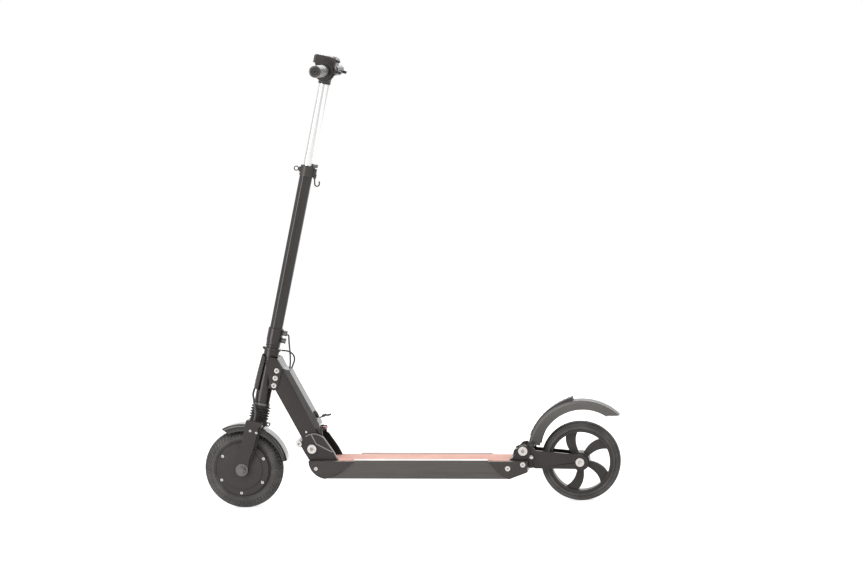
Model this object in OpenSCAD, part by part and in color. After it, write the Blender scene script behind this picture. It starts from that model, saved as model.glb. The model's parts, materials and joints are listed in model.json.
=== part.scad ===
// Folding electric kick scooter with a hub motor in the front wheel.
// Frame: +X forward, +Y to the rider's left, +Z up, origin on the ground
// midway between the axles. Every piece is drawn level with the deck, and
// stand() then tips the whole scooter so that both tyres touch the ground.

/* [Wheels] */
// Outside diameter of both tyres
wheel_d = 200; // [190:1:206]
// Distance between the axles along the deck
wheelbase = 851; // [770:1:950]
// Height of the rear axle above the front axle, square to the deck
rear_axle_rise = 20.5; // [14:0.5:26]
// Width of the front tyre
front_tyre_w = 48; // [40:1:50]
// Width of the rear tyre
rear_tyre_w = 44; // [36:1:46]
// Radius where the front tyre sits on the motor hub
hub_r = 68; // [64:1:74]
// Radius of the raised middle of each motor cover
cover_r = 51.5; // [44:0.5:53]
// Width over the two motor covers
hub_w = 64; // [58:1:66]
// Pitch circle radius of the motor cover screws
cover_screw_r = 60; // [58:0.5:62]
// Number of motor cover screws a side
cover_screws = 6; // [4:1:8]
// Diameter of the motor axle
motor_axle_d = 12; // [10:1:14]
// Diameter of the rear axle
rear_axle_d = 10; // [8:1:12]
// Radius where the rear tyre sits on its rim
rim_r = 81; // [78:1:86]
// Inside radius of the rear rim, at the spoke windows
rim_window_r = 73; // [68:1:76]
// Radius of the rear hub
rear_hub_r = 23; // [20:1:28]
// Number of curved spokes in the rear wheel
spokes = 5; // [3:1:7]
// Width of a spoke
spoke_w = 20; // [12:1:24]

/* [Steering] */
// Backward tilt of the steering axis
steer_tilt = 12; // [9:0.5:13]
// Distance of the front axle ahead of the steering axis
fork_offset = 11.4; // [6:0.2:16]
// Gap between the front tyre and its mudguard
front_fender_gap = 12.5; // [9:0.5:16]
// Wall of both mudguards
fender_t = 2.5; // [1.6:0.1:3.5]
// Height of the fork crown
crown_h = 11.5; // [9:0.5:16]
// Thickness of each fork leg
leg_t = 9; // [6:0.5:11]
// Free length of the bellows
bellows_l = 44; // [40:1:56]
// Outside radius of the bellows ribs
bellows_r = 25.5; // [24:0.5:28]
// Depth of the bellows ribs
bellows_rib = 6; // [4:0.5:7]
// Number of bellows ribs
bellows_ribs = 5; // [4:1:7]
// Length of the head tube
head_l = 134; // [130:1:142]
// Outside diameter of the head tube
head_d = 39; // [38:0.5:41]
// Diameter of the steerer tube
steerer_d = 28.6; // [27:0.2:29.4]

/* [Stem] */
// Outside diameter of the outer stem tube across its rounded corners
outer_d = 33; // [32:0.5:35]
// Outside diameter of the inner stem tube across its rounded corners
inner_d = 26; // [24:0.5:27]
// Length of the outer stem tube
outer_l = 430; // [400:1:450]
// Length of inner tube that shows above the collar
inner_show = 208; // [204:1:230]
// Length of inner tube inside the outer tube
inner_in = 90; // [60:1:110]
// Height of the collar on the outer tube
collar_h = 27; // [24:1:34]
// Width of the console between its side faces
console_w = 72; // [68:1:80]
// Depth of the console from front to back
console_l = 57; // [52:1:62]
// Height of the console over the end of the inner tube's showing length
console_rise = 70; // [68:1:76]
// Height of the console's upper box
console_h = 21; // [18:1:24]
// Distance from the mid plane to the outer end of a grip
bar_reach = 215; // [205:1:235]
// Radius of the grips
grip_r = 15; // [14.5:0.5:17]
// Radius of the round flange on the console's left side
flange_r = 27; // [26:1:32]

/* [Deck] */
// Distance from the front axle back to the deck's front end
deck_front_gap = 173.5; // [170:0.5:178]
// Distance from the rear axle forward to the deck's rear end
deck_rear_gap = 128.5; // [126.5:0.5:132]
// Height of the deck's underside above the front tyre's lowest point
deck_z = 82; // [76:1:84]
// Height of the deck
deck_h = 47; // [45:1:52]
// Width of the deck over its end caps
deck_w = 154; // [140:1:170]
// Wall of the deck's extruded profile
deck_wall = 4; // [3:0.5:5]
// Thickness of the standing mat
mat_t = 2.4; // [1.5:0.1:3]
// Distance from the hinge bolt up from the deck's top
hinge_rise = 25.6; // [25:0.2:30]
// Distance of the hinge bolt behind the deck's front end
hinge_back = 6.8; // [5:0.2:9]
// Diameter of the hinge and swing arm bolts
pivot_d = 12; // [10:1:14]
// Diameter of the hinge and swing arm bolt heads
pivot_head_d = 23; // [19:1:25]
// Distance from the deck's top up to the swing arm bolt
swing_rise = 20.5; // [19:0.5:23]
// Distance of the swing arm bolt ahead of the deck's rear end
swing_back = 13; // [11:0.5:15]

/* [Stem box] */
// Tilt of the box from upright
box_tilt = 28.5; // [27:0.5:30]
// Depth of the box, square to its length
box_d = 54; // [50:1:56]
// Width of the box
box_w = 78; // [70:1:80]
// Length of the box from the hinge bolt to its top
box_l = 232; // [228:1:236]
// Depth of the slope along each rear corner of the box
box_slope = 14; // [8:1:18]
// Wall of the box
box_wall = 3; // [2:0.5:4]
// Depth of the charge socket's bore
socket_l = 12; // [10:1:16]
// Radius of the charge socket's bore
socket_r = 4; // [3:0.25:4.5]

/* [Hidden] */
$fn = 64;
// Clearances: seats of one body, turning or sliding fits, and free moving faces
seat = 0.05;
run = 0.05;
free = 0.4;

wheel_r = wheel_d / 2;
front_axle = [wheelbase / 2, 0, wheel_r];
rear_axle_at = [-wheelbase / 2, 0, wheel_r + rear_axle_rise];
pitch = atan(rear_axle_rise / wheelbase);
axle_mid_z = wheel_r + rear_axle_rise / 2;

// Steering frame: its Z runs up the stem, its origin is level with the front axle
steer_at = front_axle - [fork_offset, 0, 0];
axle_u = fork_offset * cos(steer_tilt);
axle_v = -fork_offset * sin(steer_tilt);
front_fender_r = wheel_r + front_fender_gap + fender_t;
crown_v = axle_v + front_fender_r + free;
crown_top = crown_v + crown_h;
head_v = crown_top + 2 + bellows_l;
head_top = head_v + head_l;
leg_in = hub_w / 2 + 3;
leg_out = leg_in + leg_t;
stanchion_d = steerer_d - 6.4;
bearing_h = 8;
headset_h = 24;
sleeve_v = head_top + free + headset_h;
sleeve_h = 34;
sleeve_r = head_d / 2;
outer_v = sleeve_v + 14;
outer_top = outer_v + outer_l;
bore_d = inner_d + 2 * run;
collar_r = outer_d / 2 + 1.8;
collar_v = outer_top - collar_h + 7;
collar_top = collar_v + collar_h;
console_v = collar_top + inner_show;
bar_v = console_v + 34;
console_top = console_v + console_rise;
console_u0 = -console_l * 0.4;
pivot_y = 70;
stub_r = 14;
lever_y0 = console_w / 2 + 8.5;
lever_w = 9;

// Deck ends and levels, and the two main pivots
deck_front = wheelbase / 2 - deck_front_gap;
deck_rear = wheelbase / 2 - deck_rear_gap;
deck_top = deck_z + deck_h;
shell_top = deck_top - mat_t;
shell_x0 = -deck_rear + 46;
shell_x1 = deck_front - 38;
shell_half = deck_w / 2 - 3.5;
base_t = 4;
base_top = shell_top + base_t;
hinge_at = [deck_front - hinge_back, 0, deck_top + hinge_rise];
knuckle_r = hinge_at[2] - base_top - 0.8;
knuckle_half = 44;
plate_in = knuckle_half + free;
plate_t = 6;
plate_out = plate_in + plate_t;
swing_at = [-deck_rear + swing_back, 0, deck_top + swing_rise];
arm_in = rear_tyre_w / 2 + 11;
arm_t = 8;
arm_out = arm_in + arm_t;
ear_in = arm_out + free;
ear_t = 6;
ear_out = ear_in + ear_t;

// Stem box, in a frame at the hinge whose Z runs up the box
box_front = 11.7;
box_rear = box_front - box_d;
box_half = box_w / 2;
cheek_t = 4;

// Rear mudguard: centre and radii of its arc
fender_at = rear_axle_at + [-3.1, 0, 18.4];
rear_fender_r = wheel_r + 35.3;
rear_skirt_r = wheel_r + 8.5;
rear_fender_half = arm_in - 2;
fender_pin_at = fender_at + (rear_fender_r - 8) * [cos(10.9), 0, sin(10.9)];

// Tip the scooter from level deck to both tyres on the ground
module stand() {
    translate([0, 0, wheel_r]) rotate([0, -pitch, 0]) translate([0, 0, -axle_mid_z]) children();
}

// Place a child drawn in the steering frame
module steer_frame() {
    translate(steer_at) rotate([0, -steer_tilt, 0]) children();
}
module at_steer() {
    stand() steer_frame() children();
}

// Place a child drawn in the stem box frame
module box_frame() {
    translate(hinge_at) rotate([0, box_tilt, 0]) children();
}
module at_box() {
    stand() box_frame() children();
}

module both_sides() {
    children();
    mirror([0, 1, 0]) children();
}

// Extrude a side outline, drawn as X and Z, from y0 to y1
module slab(y0, y1) {
    translate([0, y1, 0]) rotate([90, 0, 0]) linear_extrude(y1 - y0) children();
}

// Extrude an end outline, drawn as Y and Z, from x0 to x1
module along_x(x0, x1) {
    translate([x0, 0, 0]) rotate([90, 0, 90]) linear_extrude(x1 - x0) children();
}

// Cylinder along Y from y0 to y1, centred on a point of the mid plane
module rod_y(at, r, y0, y1) {
    translate([at[0], y1, at[2]]) rotate([90, 0, 0]) cylinder(r = r, h = y1 - y0);
}

// Cylinder along X from x0 to x1
module rod_x(x0, x1, y, z, r) {
    translate([x0, y, z]) rotate([0, 90, 0]) cylinder(r = r, h = x1 - x0);
}

// Hex socket sunk into a screw head on the left, whose face is at y
module hex_cut(at, r, y, depth) {
    translate([at[0], y + 1, at[2]]) rotate([90, 0, 0]) cylinder(r = r, h = depth + 1, $fn = 6);
}

module tube_z(r_out, r_in, z0, z1) {
    translate([0, 0, z0]) difference() {
        cylinder(r = r_out, h = z1 - z0);
        translate([0, 0, -1]) cylinder(r = r_in, h = z1 - z0 + 2);
    }
}

// Round the corners of a side outline
module softened(r) {
    offset(r, $fn = 24) offset(-r) children();
}

// Octagon with rounded corners, as the stem's drawn tubes have
module stem_profile(d) {
    intersection() {
        circle(d = d);
        rotate(22.5) circle(d = d * 1.045, $fn = 8);
    }
}

// Part of a ring between two angles
module arc_band(r0, r1, a0, a1) {
    reach = r1 * 2;
    intersection() {
        difference() {
            circle(r = r1, $fn = 128);
            circle(r = r0, $fn = 128);
        }
        polygon([
            [0, 0],
            for (i = [0 : 8]) reach * [cos(a0 + (a1 - a0) * i / 8), sin(a0 + (a1 - a0) * i / 8)]
        ]);
    }
}

// Ring with a crowned top and thin walls, which both mudguards are cut from
guard_round = 9;
function guard_wall(r0, r1, half, c) = [
    [r0, -half],
    for (a = [0 : 30 : 90]) [r1 - c + c * sin(a), c - half - c * cos(a)],
    for (a = [0 : 30 : 90]) [r1 - c + c * cos(a), half - c + c * sin(a)],
    [r0, half]
];
module guard_ring(r0, r1, half) {
    wheel_ring() difference() {
        polygon(guard_wall(r0, r1, half, guard_round));
        polygon(guard_wall(r0 - 1, r1 - fender_t, half - fender_t, guard_round - fender_t));
    }
}

// Smooth path through chosen points, several steps to a span
function spline_at(p, i, t) =
    let (
        n = len(p) - 1,
        a = p[max(i - 1, 0)],
        b = p[i],
        c = p[min(i + 1, n)],
        d = p[min(i + 2, n)]
    )
    0.5 * (2 * b + (c - a) * t + (2 * a - 5 * b + 4 * c - d) * t * t + (3 * b - a - 3 * c + d) * t * t * t);
function spline(p, steps) = [
    for (i = [0 : len(p) - 2]) for (k = [0 : steps - 1]) spline_at(p, i, k / steps),
    p[len(p) - 1]
];
function unit(v) = v / norm(v);

// Round tube swept along a path as one closed solid
module swept_tube(path, r, sides) {
    n = len(path);
    along = [for (i = [0 : n - 1]) unit(path[min(i + 1, n - 1)] - path[max(i - 1, 0)])];
    across = [for (t = along) unit(cross(t, abs(t[1]) < 0.8 ? [0, 1, 0] : [1, 0, 0]))];
    points = [
        for (i = [0 : n - 1])
            let (a = across[i], b = cross(along[i], a))
            for (k = [0 : sides - 1]) path[i] + r * (a * cos(360 * k / sides) + b * sin(360 * k / sides)),
        path[0],
        path[n - 1]
    ];
    first = n * sides;
    walls = [
        for (i = [0 : n - 2]) for (k = [0 : sides - 1])
            let (k1 = (k + 1) % sides, p = i * sides, q = p + sides)
            each [[p + k, q + k, q + k1], [p + k, q + k1, p + k1]]
    ];
    ends = [
        for (k = [0 : sides - 1])
            let (k1 = (k + 1) % sides, q = (n - 1) * sides)
            each [[first, k, k1], [first + 1, q + k1, q + k]]
    ];
    polyhedron(points, concat(walls, ends));
}

// Points along a coil spring about Z
function coil_path(r, z0, z1, turns) = [
    for (i = [0 : turns * 8])
        [r * cos(i * 45), r * sin(i * 45), z0 + (z1 - z0) * i / (turns * 8)]
];

// Side outline of an end cap's cheek, whose inner edge is a long arc from top to bottom
module swoosh(top_x, bottom_x, end_x, r) {
    chord = [bottom_x - top_x, -deck_h];
    half = norm(chord) / 2;
    outward = [deck_h, bottom_x - top_x] / norm(chord);
    middle = [(top_x + bottom_x) / 2, (deck_z + shell_top) / 2];
    intersection() {
        translate([top_x - 20, deck_z]) square([end_x - top_x + 20, shell_top - deck_z]);
        translate(middle + outward * sqrt(r * r - half * half)) circle(r = r, $fn = 180);
    }
}

// Nose of the deck, a quarter round from the top down to the underside
module nose_outline() {
    intersection() {
        translate([deck_front - deck_h, deck_z]) square([deck_h, shell_top - deck_z]);
        translate([deck_front - deck_h, deck_top]) circle(r = deck_h, $fn = 96);
    }
}

// Tail of the deck, whose underside slopes up to the rear face
module tail_outline() {
    polygon([
        [shell_x0 - seat, shell_top], [-deck_rear, shell_top],
        [-deck_rear, deck_z + 17.5], [shell_x0 - seat, deck_z]
    ]);
}

module front_cap_outline() {
    intersection() {
        swoosh(deck_front - 116, shell_x1, deck_front, 194);
        union() {
            nose_outline();
            translate([0, deck_z]) square([deck_front - deck_h, deck_h]);
        }
    }
}

module rear_cap_outline() {
    mirror([1, 0]) swoosh(deck_rear - 99, deck_rear - 44, deck_rear - 45, 150);
    tail_outline();
}

// Hollow aluminium profile with dished sides, and a round lip along each edge between the caps
module deck_shell() {
    dish_r = 60;
    dish = 2.2;
    lip_r = 3.2;
    lip_z = deck_top + 2.8 - lip_r;
    color("dimgray") stand() {
        along_x(shell_x0, shell_x1) difference() {
            softened(5) translate([-shell_half, deck_z]) square([2 * shell_half, shell_top - deck_z]);
            for (s = [-1, 1]) translate([s * (shell_half + dish_r - dish), (deck_z + shell_top) / 2])
                circle(r = dish_r, $fn = 96);
            translate([-shell_half + dish + deck_wall, deck_z + deck_wall])
                square([2 * (shell_half - dish - deck_wall), shell_top - deck_z - 2 * deck_wall]);
        }
        along_x(-deck_rear + 99, deck_front - 116) for (s = [-1, 1])
            translate([s * (shell_half - lip_r), 0]) {
                translate([-lip_r, shell_top - 5]) square([2 * lip_r, lip_z - shell_top + 5]);
                translate([0, lip_z]) circle(r = lip_r);
            }
    }
}

mat_half = deck_w / 2 - 14.5;
mat_x0 = -deck_rear + 46;
mat_x1 = hinge_at[0] - 67.5;
tongue_half_w = plate_in - 1;
module grip_mat() {
    color("rosybrown") stand() translate([0, 0, shell_top]) {
        translate([mat_x0, -mat_half, 0]) cube([mat_x1 - mat_x0, 2 * mat_half, mat_t]);
        translate([mat_x1 - 1, -tongue_half_w, 0]) cube([23.5, 2 * tongue_half_w, mat_t]);
    }
}

module front_end_cap() {
    color("#2b2b2b") stand() {
        slab(-deck_w / 2, deck_w / 2) intersection() {
            nose_outline();
            translate([shell_x1 + seat, 0]) square([deck_h, deck_top]);
        }
        both_sides() slab(shell_half + seat, deck_w / 2) front_cap_outline();
    }
}

module rear_end_cap() {
    color("#2b2b2b") stand() {
        slab(-deck_w / 2, deck_w / 2) tail_outline();
        both_sides() slab(shell_half + seat, deck_w / 2) rear_cap_outline();
    }
}

// Cap screws on both sides: one at the nose, two at the tail
screw_head_t = 2.6;
module deck_screws() {
    sites = [[deck_front - 19.5, 4.5], [-deck_rear + 49, 6.5], [-deck_rear + 11.4, 6.5]];
    heights = [deck_z + 26, deck_z + 27.3, deck_z + 37];
    face = deck_w / 2 + screw_head_t;
    color("silver") stand() both_sides() for (i = [0 : 2]) difference() {
        rod_y([sites[i][0], 0, heights[i]], sites[i][1], deck_w / 2, face);
        hex_cut([sites[i][0], 0, heights[i]], sites[i][1] * 0.42, face, 1.4);
    }
}

module battery_pack() {
    margin = 6;
    half = shell_half - deck_wall - margin;
    color("royalblue") stand() translate([shell_x0 + 20, -half, deck_z + deck_wall])
        cube([shell_x1 - shell_x0 - 40, 2 * half, shell_top - deck_z - 2 * deck_wall - margin]);
}

// Bracket on the deck's front end: two cheeks that hold the hinge bolt and the stop pin
stop_r = 5;
stop_head_r = 7;
stop_roller_r = 10.5;
stop_w = 27;
stop_n = box_front + free + stop_roller_r;
stop_at = hinge_at + [
    stop_n * cos(box_tilt) + stop_w * sin(box_tilt), 0,
    -stop_n * sin(box_tilt) + stop_w * cos(box_tilt)
];
module hinge_cheek() {
    h = [hinge_at[0], hinge_at[2]];
    softened(4) union() {
        polygon([
            [h[0] + 8.8, shell_top], h + [29.8, 8.6], h + [25, 22.2], h + [16.3, 32.8], h + [8, 36.6],
            h + [-1, 38.9], h + [-9.4, 39], h + [-20.9, 35.2], h + [-29.7, 29.4], h + [-54.2, -5.8],
            [h[0] - 66, shell_top]
        ]);
        translate([stop_at[0], stop_at[2]]) circle(r = stop_head_r);
    }
}
module hinge_bracket() {
    rib_w = 2.6;
    color("#303030") stand() difference() {
        union() {
            both_sides() {
                slab(plate_in, plate_out) hinge_cheek();
                slab(plate_out - seat, plate_out + 1.2) intersection() {
                    hinge_cheek();
                    translate([hinge_at[0] - 10.5, hinge_at[2] + 12.6]) {
                        circle(d = rib_w);
                        rotate(27) translate([-45, -rib_w / 2]) square([45, rib_w]);
                        rotate(62) translate([0, -rib_w / 2]) square([28, rib_w]);
                    }
                }
                slab(plate_out - seat, plate_out + 1.2) difference() {
                    hinge_cheek();
                    offset(delta = -2.2) hinge_cheek();
                    translate([hinge_at[0] + 16.3, 0]) square(300);
                    translate([hinge_at[0] - 80, 0]) square([200, shell_top + 3]);
                }
            }
            translate([hinge_at[0] - 44, -plate_out, shell_top]) cube([52.8, 2 * plate_out, base_t]);
        }
        rod_y(hinge_at, pivot_d / 2 + seat, -plate_out - 5, plate_out + 5);
        rod_y(stop_at, stop_r + seat, -plate_out - 5, plate_out + 5);
    }
}

// Bolts on the deck: fold hinge, stop roller in front of the stem box, and swing arm pivot
head_t = 5;
module headed_bolt(at, r, head_r, half) {
    difference() {
        union() {
            rod_y(at, r, -half - head_t, half + head_t);
            both_sides() rod_y(at, head_r, half + seat, half + head_t);
        }
        both_sides() hex_cut(at, head_r * 0.42, half + head_t, 2.6);
    }
}
module pivot_bolts() {
    color("silver") stand() {
        headed_bolt(hinge_at, pivot_d / 2, pivot_head_d / 2, plate_out + 1.2);
        headed_bolt(stop_at, stop_r, stop_head_r, plate_out);
        rod_y(stop_at, stop_roller_r, -plate_in + free, plate_in - free);
        headed_bolt(swing_at, pivot_d / 2, pivot_head_d / 2, ear_out);
    }
}

// Bracket on the deck's rear end: two ears for the swing arm
module rear_ear() {
    s = [swing_at[0], swing_at[2]];
    softened(3) union() {
        polygon([
            [s[0] + 31, shell_top], s + [6, 13.5], s + [-4, 15.5], s + [-14, 9],
            [-deck_rear - 14, deck_z + 25], [-deck_rear - seat, deck_z + 25], [-deck_rear - seat, shell_top]
        ]);
        translate(s) circle(r = pivot_head_d / 2 + 3);
    }
}
module rear_bracket() {
    color("#303030") stand() {
        difference() {
            union() {
                both_sides() slab(ear_in, ear_out) rear_ear();
                translate([-deck_rear + 2, -ear_out, shell_top]) cube([42, 2 * ear_out, base_t]);
            }
            rod_y(swing_at, pivot_d / 2 + seat, -ear_out - 5, ear_out + 5);
        }
        both_sides() rod_y([-deck_rear - 8, 0, deck_z + 52.5], 5, ear_out - seat, ear_out + screw_head_t);
    }
}

// Rubber buffers that the swing arm's nose presses when the rear wheel rises
nose_x = swing_at[0] + 20;
nose_z = swing_at[2] - 6;
module rear_buffers() {
    gap = 0.3;
    color("black") stand() both_sides() translate([nose_x, arm_in / 2, base_top])
        cylinder(r = 8, h = nose_z - base_top - gap);
}

// Tilted housing between deck hinge and head tube, with a round knuckle at its foot
head_face_u = -head_d / 2 - 1;
module box_outline() {
    polygon([
        [box_front, 5], [box_front, box_l - 28], [-24, box_l + 15], [-32.2, box_l + 7.5], [-32.2, box_l - 20],
        [box_rear, box_l - 34], [box_rear, 44], [2 - knuckle_r, 2]
    ]);
}

// Cross section of the box, with sloped rear corners
module box_section(inset) {
    half = box_half - inset;
    narrow = half - box_slope * 0.6;
    rear = box_rear + inset;
    polygon([
        [40, -half], [40, half], [rear + box_slope, half], [rear, narrow], [rear, -narrow],
        [rear + box_slope, -half]
    ]);
}
lever_n = box_rear - 0.7;
lever_w0 = 30;
lug_y = 13;
lug_t = 4;
module stem_box() {
    color("#262626") stand() difference() {
        union() {
            box_frame() intersection() {
                slab(-box_half, box_half) softened(5) box_outline();
                translate([0, 0, -40]) linear_extrude(box_l + 80) box_section(0);
            }
            box_frame() rod_y([0, 0, 0], knuckle_r, -knuckle_half, knuckle_half);
            box_frame() both_sides() slab(lug_y, lug_y + lug_t) hull() {
                translate([lever_n, lever_w0]) circle(r = 5);
                translate([lever_n + 14, lever_w0]) circle(r = 5);
            }
        }
        steer_frame() translate([head_face_u, -100, 0]) cube([100, 200, 400]);
        box_frame() intersection() {
            slab(box_wall - box_half, box_half - box_wall) polygon([
                [box_front - box_wall, 40], [box_front - box_wall, box_l - 46], [-22, box_l - 26],
                [box_rear + box_wall, box_l - 42], [box_rear + box_wall, 48]
            ]);
            linear_extrude(box_l) box_section(box_wall);
        }
        box_frame() rod_y([0, 0, 0], pivot_d / 2 + run, -knuckle_half - 5, knuckle_half + 5);
        box_frame() rod_y([lever_n, 0, lever_w0], 2 + run, -lug_y - 5, lug_y + 5);
        box_frame() rod_x(box_rear - 5, box_rear + box_wall + 5, 0, socket_w, socket_body_r + seat);
    }
}

module controller() {
    half = box_half - box_wall - 3;
    depth = box_d * 0.4;
    length = box_l / 2;
    color("seagreen") at_box() translate([box_front - box_wall - depth - 0.3, -half, box_l / 4])
        cube([depth, 2 * half, length]);
}

// Charge socket in the rear face of the box: flange, recess for its cap, and plug bore
socket_w = 69.6;
flange_t = 4;
socket_flange_r = 10;
socket_recess_r = 7;
socket_body_r = socket_recess_r + 1.5;
mouth_n = box_rear - flange_t;
recess_d = 4.5;
module charge_socket() {
    end_n = mouth_n + recess_d + socket_l;
    color("#1c1c1c") at_box() difference() {
        union() {
            rod_x(mouth_n, box_rear, 0, socket_w, socket_flange_r);
            rod_x(mouth_n + 1, end_n + 2, 0, socket_w, socket_body_r);
        }
        rod_x(mouth_n - 1, mouth_n + recess_d, 0, socket_w, socket_recess_r);
        rod_x(mouth_n - 1, end_n, 0, socket_w, socket_r);
    }
}

// Rubber cap of the socket, hanging open on its strap
cap_t = 3.2;
cap_n = mouth_n - 0.3 - cap_t / 2;
cap_w = socket_w - socket_flange_r - 1.4;
cap_droop = 10;
module charge_cap() {
    reach = socket_w - cap_w;
    color("#202020") at_box() translate([cap_n, 0, cap_w]) rotate([0, -cap_droop, 0]) {
        rod_y([0, 0, 0], cap_t / 2, -4, 4);
        translate([-reach, -4, -cap_t / 2]) cube([reach, 8, cap_t]);
        translate([-reach, 0, -cap_t / 2]) cylinder(r = socket_flange_r, h = cap_t);
        translate([-reach, 0, 0]) cylinder(r = socket_recess_r - 1, h = cap_t / 2 + 3);
        rod_x(-reach - socket_flange_r - 7, -reach - socket_flange_r + 3, 0, -1.2, 2.6);
    }
}

// Foot lever that frees the fold, with a blade down each side of the box
blade_t = 2;
module release_lever() {
    pad_half = lug_y - free;
    blade_y = box_half + 1;
    color("#8c3040") at_box() {
        rod_y([lever_n, 0, lever_w0], 2, -blade_y - blade_t, blade_y + blade_t);
        slab(-pad_half, pad_half) {
            translate([lever_n, lever_w0]) circle(r = 4);
            translate([lever_n + 7.3, lever_w0 - 15]) arc_band(17.4, 20.6, 100, 143);
        }
        both_sides() slab(blade_y, blade_y + blade_t) {
            translate([lever_n + 0.5, lever_w0]) circle(r = 4);
            polygon([
                [lever_n, lever_w0 - 3.5], [lever_n + 6.2, lever_w0 - 16], [lever_n + 10.2, lever_w0 - 16],
                [lever_n + 10.2, lever_w0 + 9], [lever_n + 6.2, lever_w0 + 9], [lever_n, lever_w0 + 3.5]
            ]);
        }
    }
}

// Head tube with the cast flange that the stem box bolts to
head_bore_r = head_d / 2 - 2.2;
flange_v0 = head_v + 44;
flange_v1 = head_v + 118;
module head_tube() {
    color("#262626") at_steer() difference() {
        union() {
            translate([0, 0, head_v]) cylinder(d = head_d, h = head_l);
            slab(-box_half, box_half) polygon([
                [head_face_u, flange_v0], [head_face_u, flange_v1], [-10, flange_v1], [-14, flange_v0]
            ]);
        }
        translate([0, 0, head_v - 1]) cylinder(r = head_bore_r, h = head_l + 2);
    }
}

// Side plates that tie the box to the head tube's flange
module head_cheek() {
    softened(2.5) polygon([
        [6, head_top - 26], [-4.6, head_top - 13], [-22.6, head_top - 13], [-40, head_top - 35],
        [-36, head_v + 44], [-28, head_v + 40], [-21, head_v + 45]
    ]);
}
head_bolt_u = -27.3;
head_bolt_step = 19;
head_bolt_v = [for (i = [0 : 2]) head_v + 53.5 + i * head_bolt_step];
module head_plates() {
    color("#262626") at_steer() both_sides() slab(box_half + seat, box_half + cheek_t) head_cheek();
}

module head_bolts() {
    washer_r = 6.5;
    head_r = 5;
    y = box_half + cheek_t;
    color("silver") at_steer() both_sides() for (v = head_bolt_v) difference() {
        union() {
            rod_y([head_bolt_u, 0, v], washer_r, y, y + 1.5);
            rod_y([head_bolt_u, 0, v], head_r, y, y + 3.5);
        }
        hex_cut([head_bolt_u, 0, v], head_r * 0.55, y + 3.5, 2.6);
    }
    color("silver") at_box() both_sides() rod_y([-5.6, 0, 43.6], 2.6, box_half, box_half + 1.6);
}

module headset_bearings() {
    color("lightgray") at_steer() for (v = [head_v + 1, head_top - bearing_h - 1])
        tube_z(head_bore_r - seat, steerer_d / 2 + run, v, v + bearing_h);
}

// Headlight housing wrapped round the front of the head tube
lamp_v = head_v + 46;
lamp_r = 8;
lamp_u = head_d / 2 + 7.5;
module headlight_housing() {
    color("#1a1a1a") at_steer() difference() {
        intersection() {
            slab(-22, 22) polygon([
                [10, head_top - 18], [head_d / 2 + 1, head_top - 12], [head_d / 2 + 6.5, head_v + 60],
                [lamp_u, head_v + 34], [14, head_v + 31]
            ]);
            translate([0, 0, head_v]) cylinder(r = lamp_u, h = head_l);
        }
        translate([0, 0, head_v - 1]) cylinder(r = head_d / 2 + seat, h = head_l + 2);
        rod_x(lamp_u - 3, lamp_u + 5, 0, lamp_v, lamp_r + seat);
    }
}

module headlight_lens() {
    color("white") at_steer() rod_x(lamp_u - 3, lamp_u + 1, 0, lamp_v, lamp_r);
}

// Steerer tube: turns in the head tube, and the fork's stanchion slides inside it
race_t = 4.6;
spring_top = head_v + 112;
stanchion_top = head_v + 45;
module steerer_tube() {
    foot_v = head_v - free - race_t;
    color("gray") at_steer() difference() {
        union() {
            translate([0, 0, foot_v]) cylinder(d = steerer_d, h = outer_v - foot_v);
            translate([0, 0, foot_v]) cylinder(r = head_d / 2 + 1.5, h = race_t);
        }
        translate([0, 0, head_v - 20]) cylinder(d = stanchion_d + 2 * run, h = spring_top - head_v + 20);
        translate([0, 0, head_v]) cylinder(r = 7, h = outer_l);
    }
}

// Clamp sleeve at the stem's foot, on its stack of headset rings
module stem_sleeve() {
    v0 = head_top + free;
    boss_half = 9;
    color("#202020") at_steer() difference() {
        union() {
            translate([0, 0, v0]) cylinder(r = head_d / 2 + 2.5, h = 7);
            translate([0, -11, v0 + 1]) cube([head_d / 2 + 4, 22, 5]);
            translate([0, 0, v0 + 7]) cylinder(r = head_d / 2 - 3.5, h = headset_h - 7);
            translate([0, 0, v0 + 10]) cylinder(r = head_d / 2 - 1, h = 4.5);
            translate([0, 0, v0 + 16]) cylinder(r = head_d / 2 - 1, h = headset_h - 16);
            translate([0, 0, sleeve_v]) cylinder(r = sleeve_r, h = sleeve_h - 2);
            translate([0, 0, sleeve_v + sleeve_h - 2]) cylinder(r1 = sleeve_r, r2 = sleeve_r - 1.5, h = 2);
            translate([-sleeve_r - 11, -boss_half, sleeve_v + 19]) cube([20, 2 * boss_half, 12]);
            translate([-sleeve_r - 11, -boss_half, sleeve_v]) cube([20, 2 * boss_half, 12]);
        }
        translate([0, 0, v0 - 1]) cylinder(d = steerer_d + 2 * seat, h = outer_v - v0 + 2);
        translate([0, 0, outer_v]) cylinder(d = outer_d + 2 * seat, h = sleeve_h);
        translate([-sleeve_r - 20, -1, sleeve_v - 1]) cube([20 + sleeve_r, 2, sleeve_h + 2]);
        for (v = sleeve_bolt_v) rod_y([sleeve_bolt_u, 0, v], sleeve_bolt_r + seat, -20, 20);
    }
}

// Clamp bolts of the sleeve and of the collar
sleeve_bolt_u = -sleeve_r - 6;
sleeve_bolt_v = [sleeve_v + 6, sleeve_v + 25];
sleeve_bolt_r = 2.5;
collar_bolt_u = -collar_r - 1;
collar_bolt_v = collar_top + 2;
module clamp_bolt(u, v, half) {
    face = half + 3.5;
    difference() {
        union() {
            rod_y([u, 0, v], sleeve_bolt_r, -half - 3, half + 3);
            both_sides() rod_y([u, 0, v], 4.3, half, face);
        }
        both_sides() hex_cut([u, 0, v], 2.3, face, 2);
    }
}
module stem_bolts() {
    color("silver") at_steer() {
        for (v = sleeve_bolt_v) clamp_bolt(sleeve_bolt_u, v, 9);
        clamp_bolt(collar_bolt_u, collar_bolt_v, lug_half);
    }
}

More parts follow.
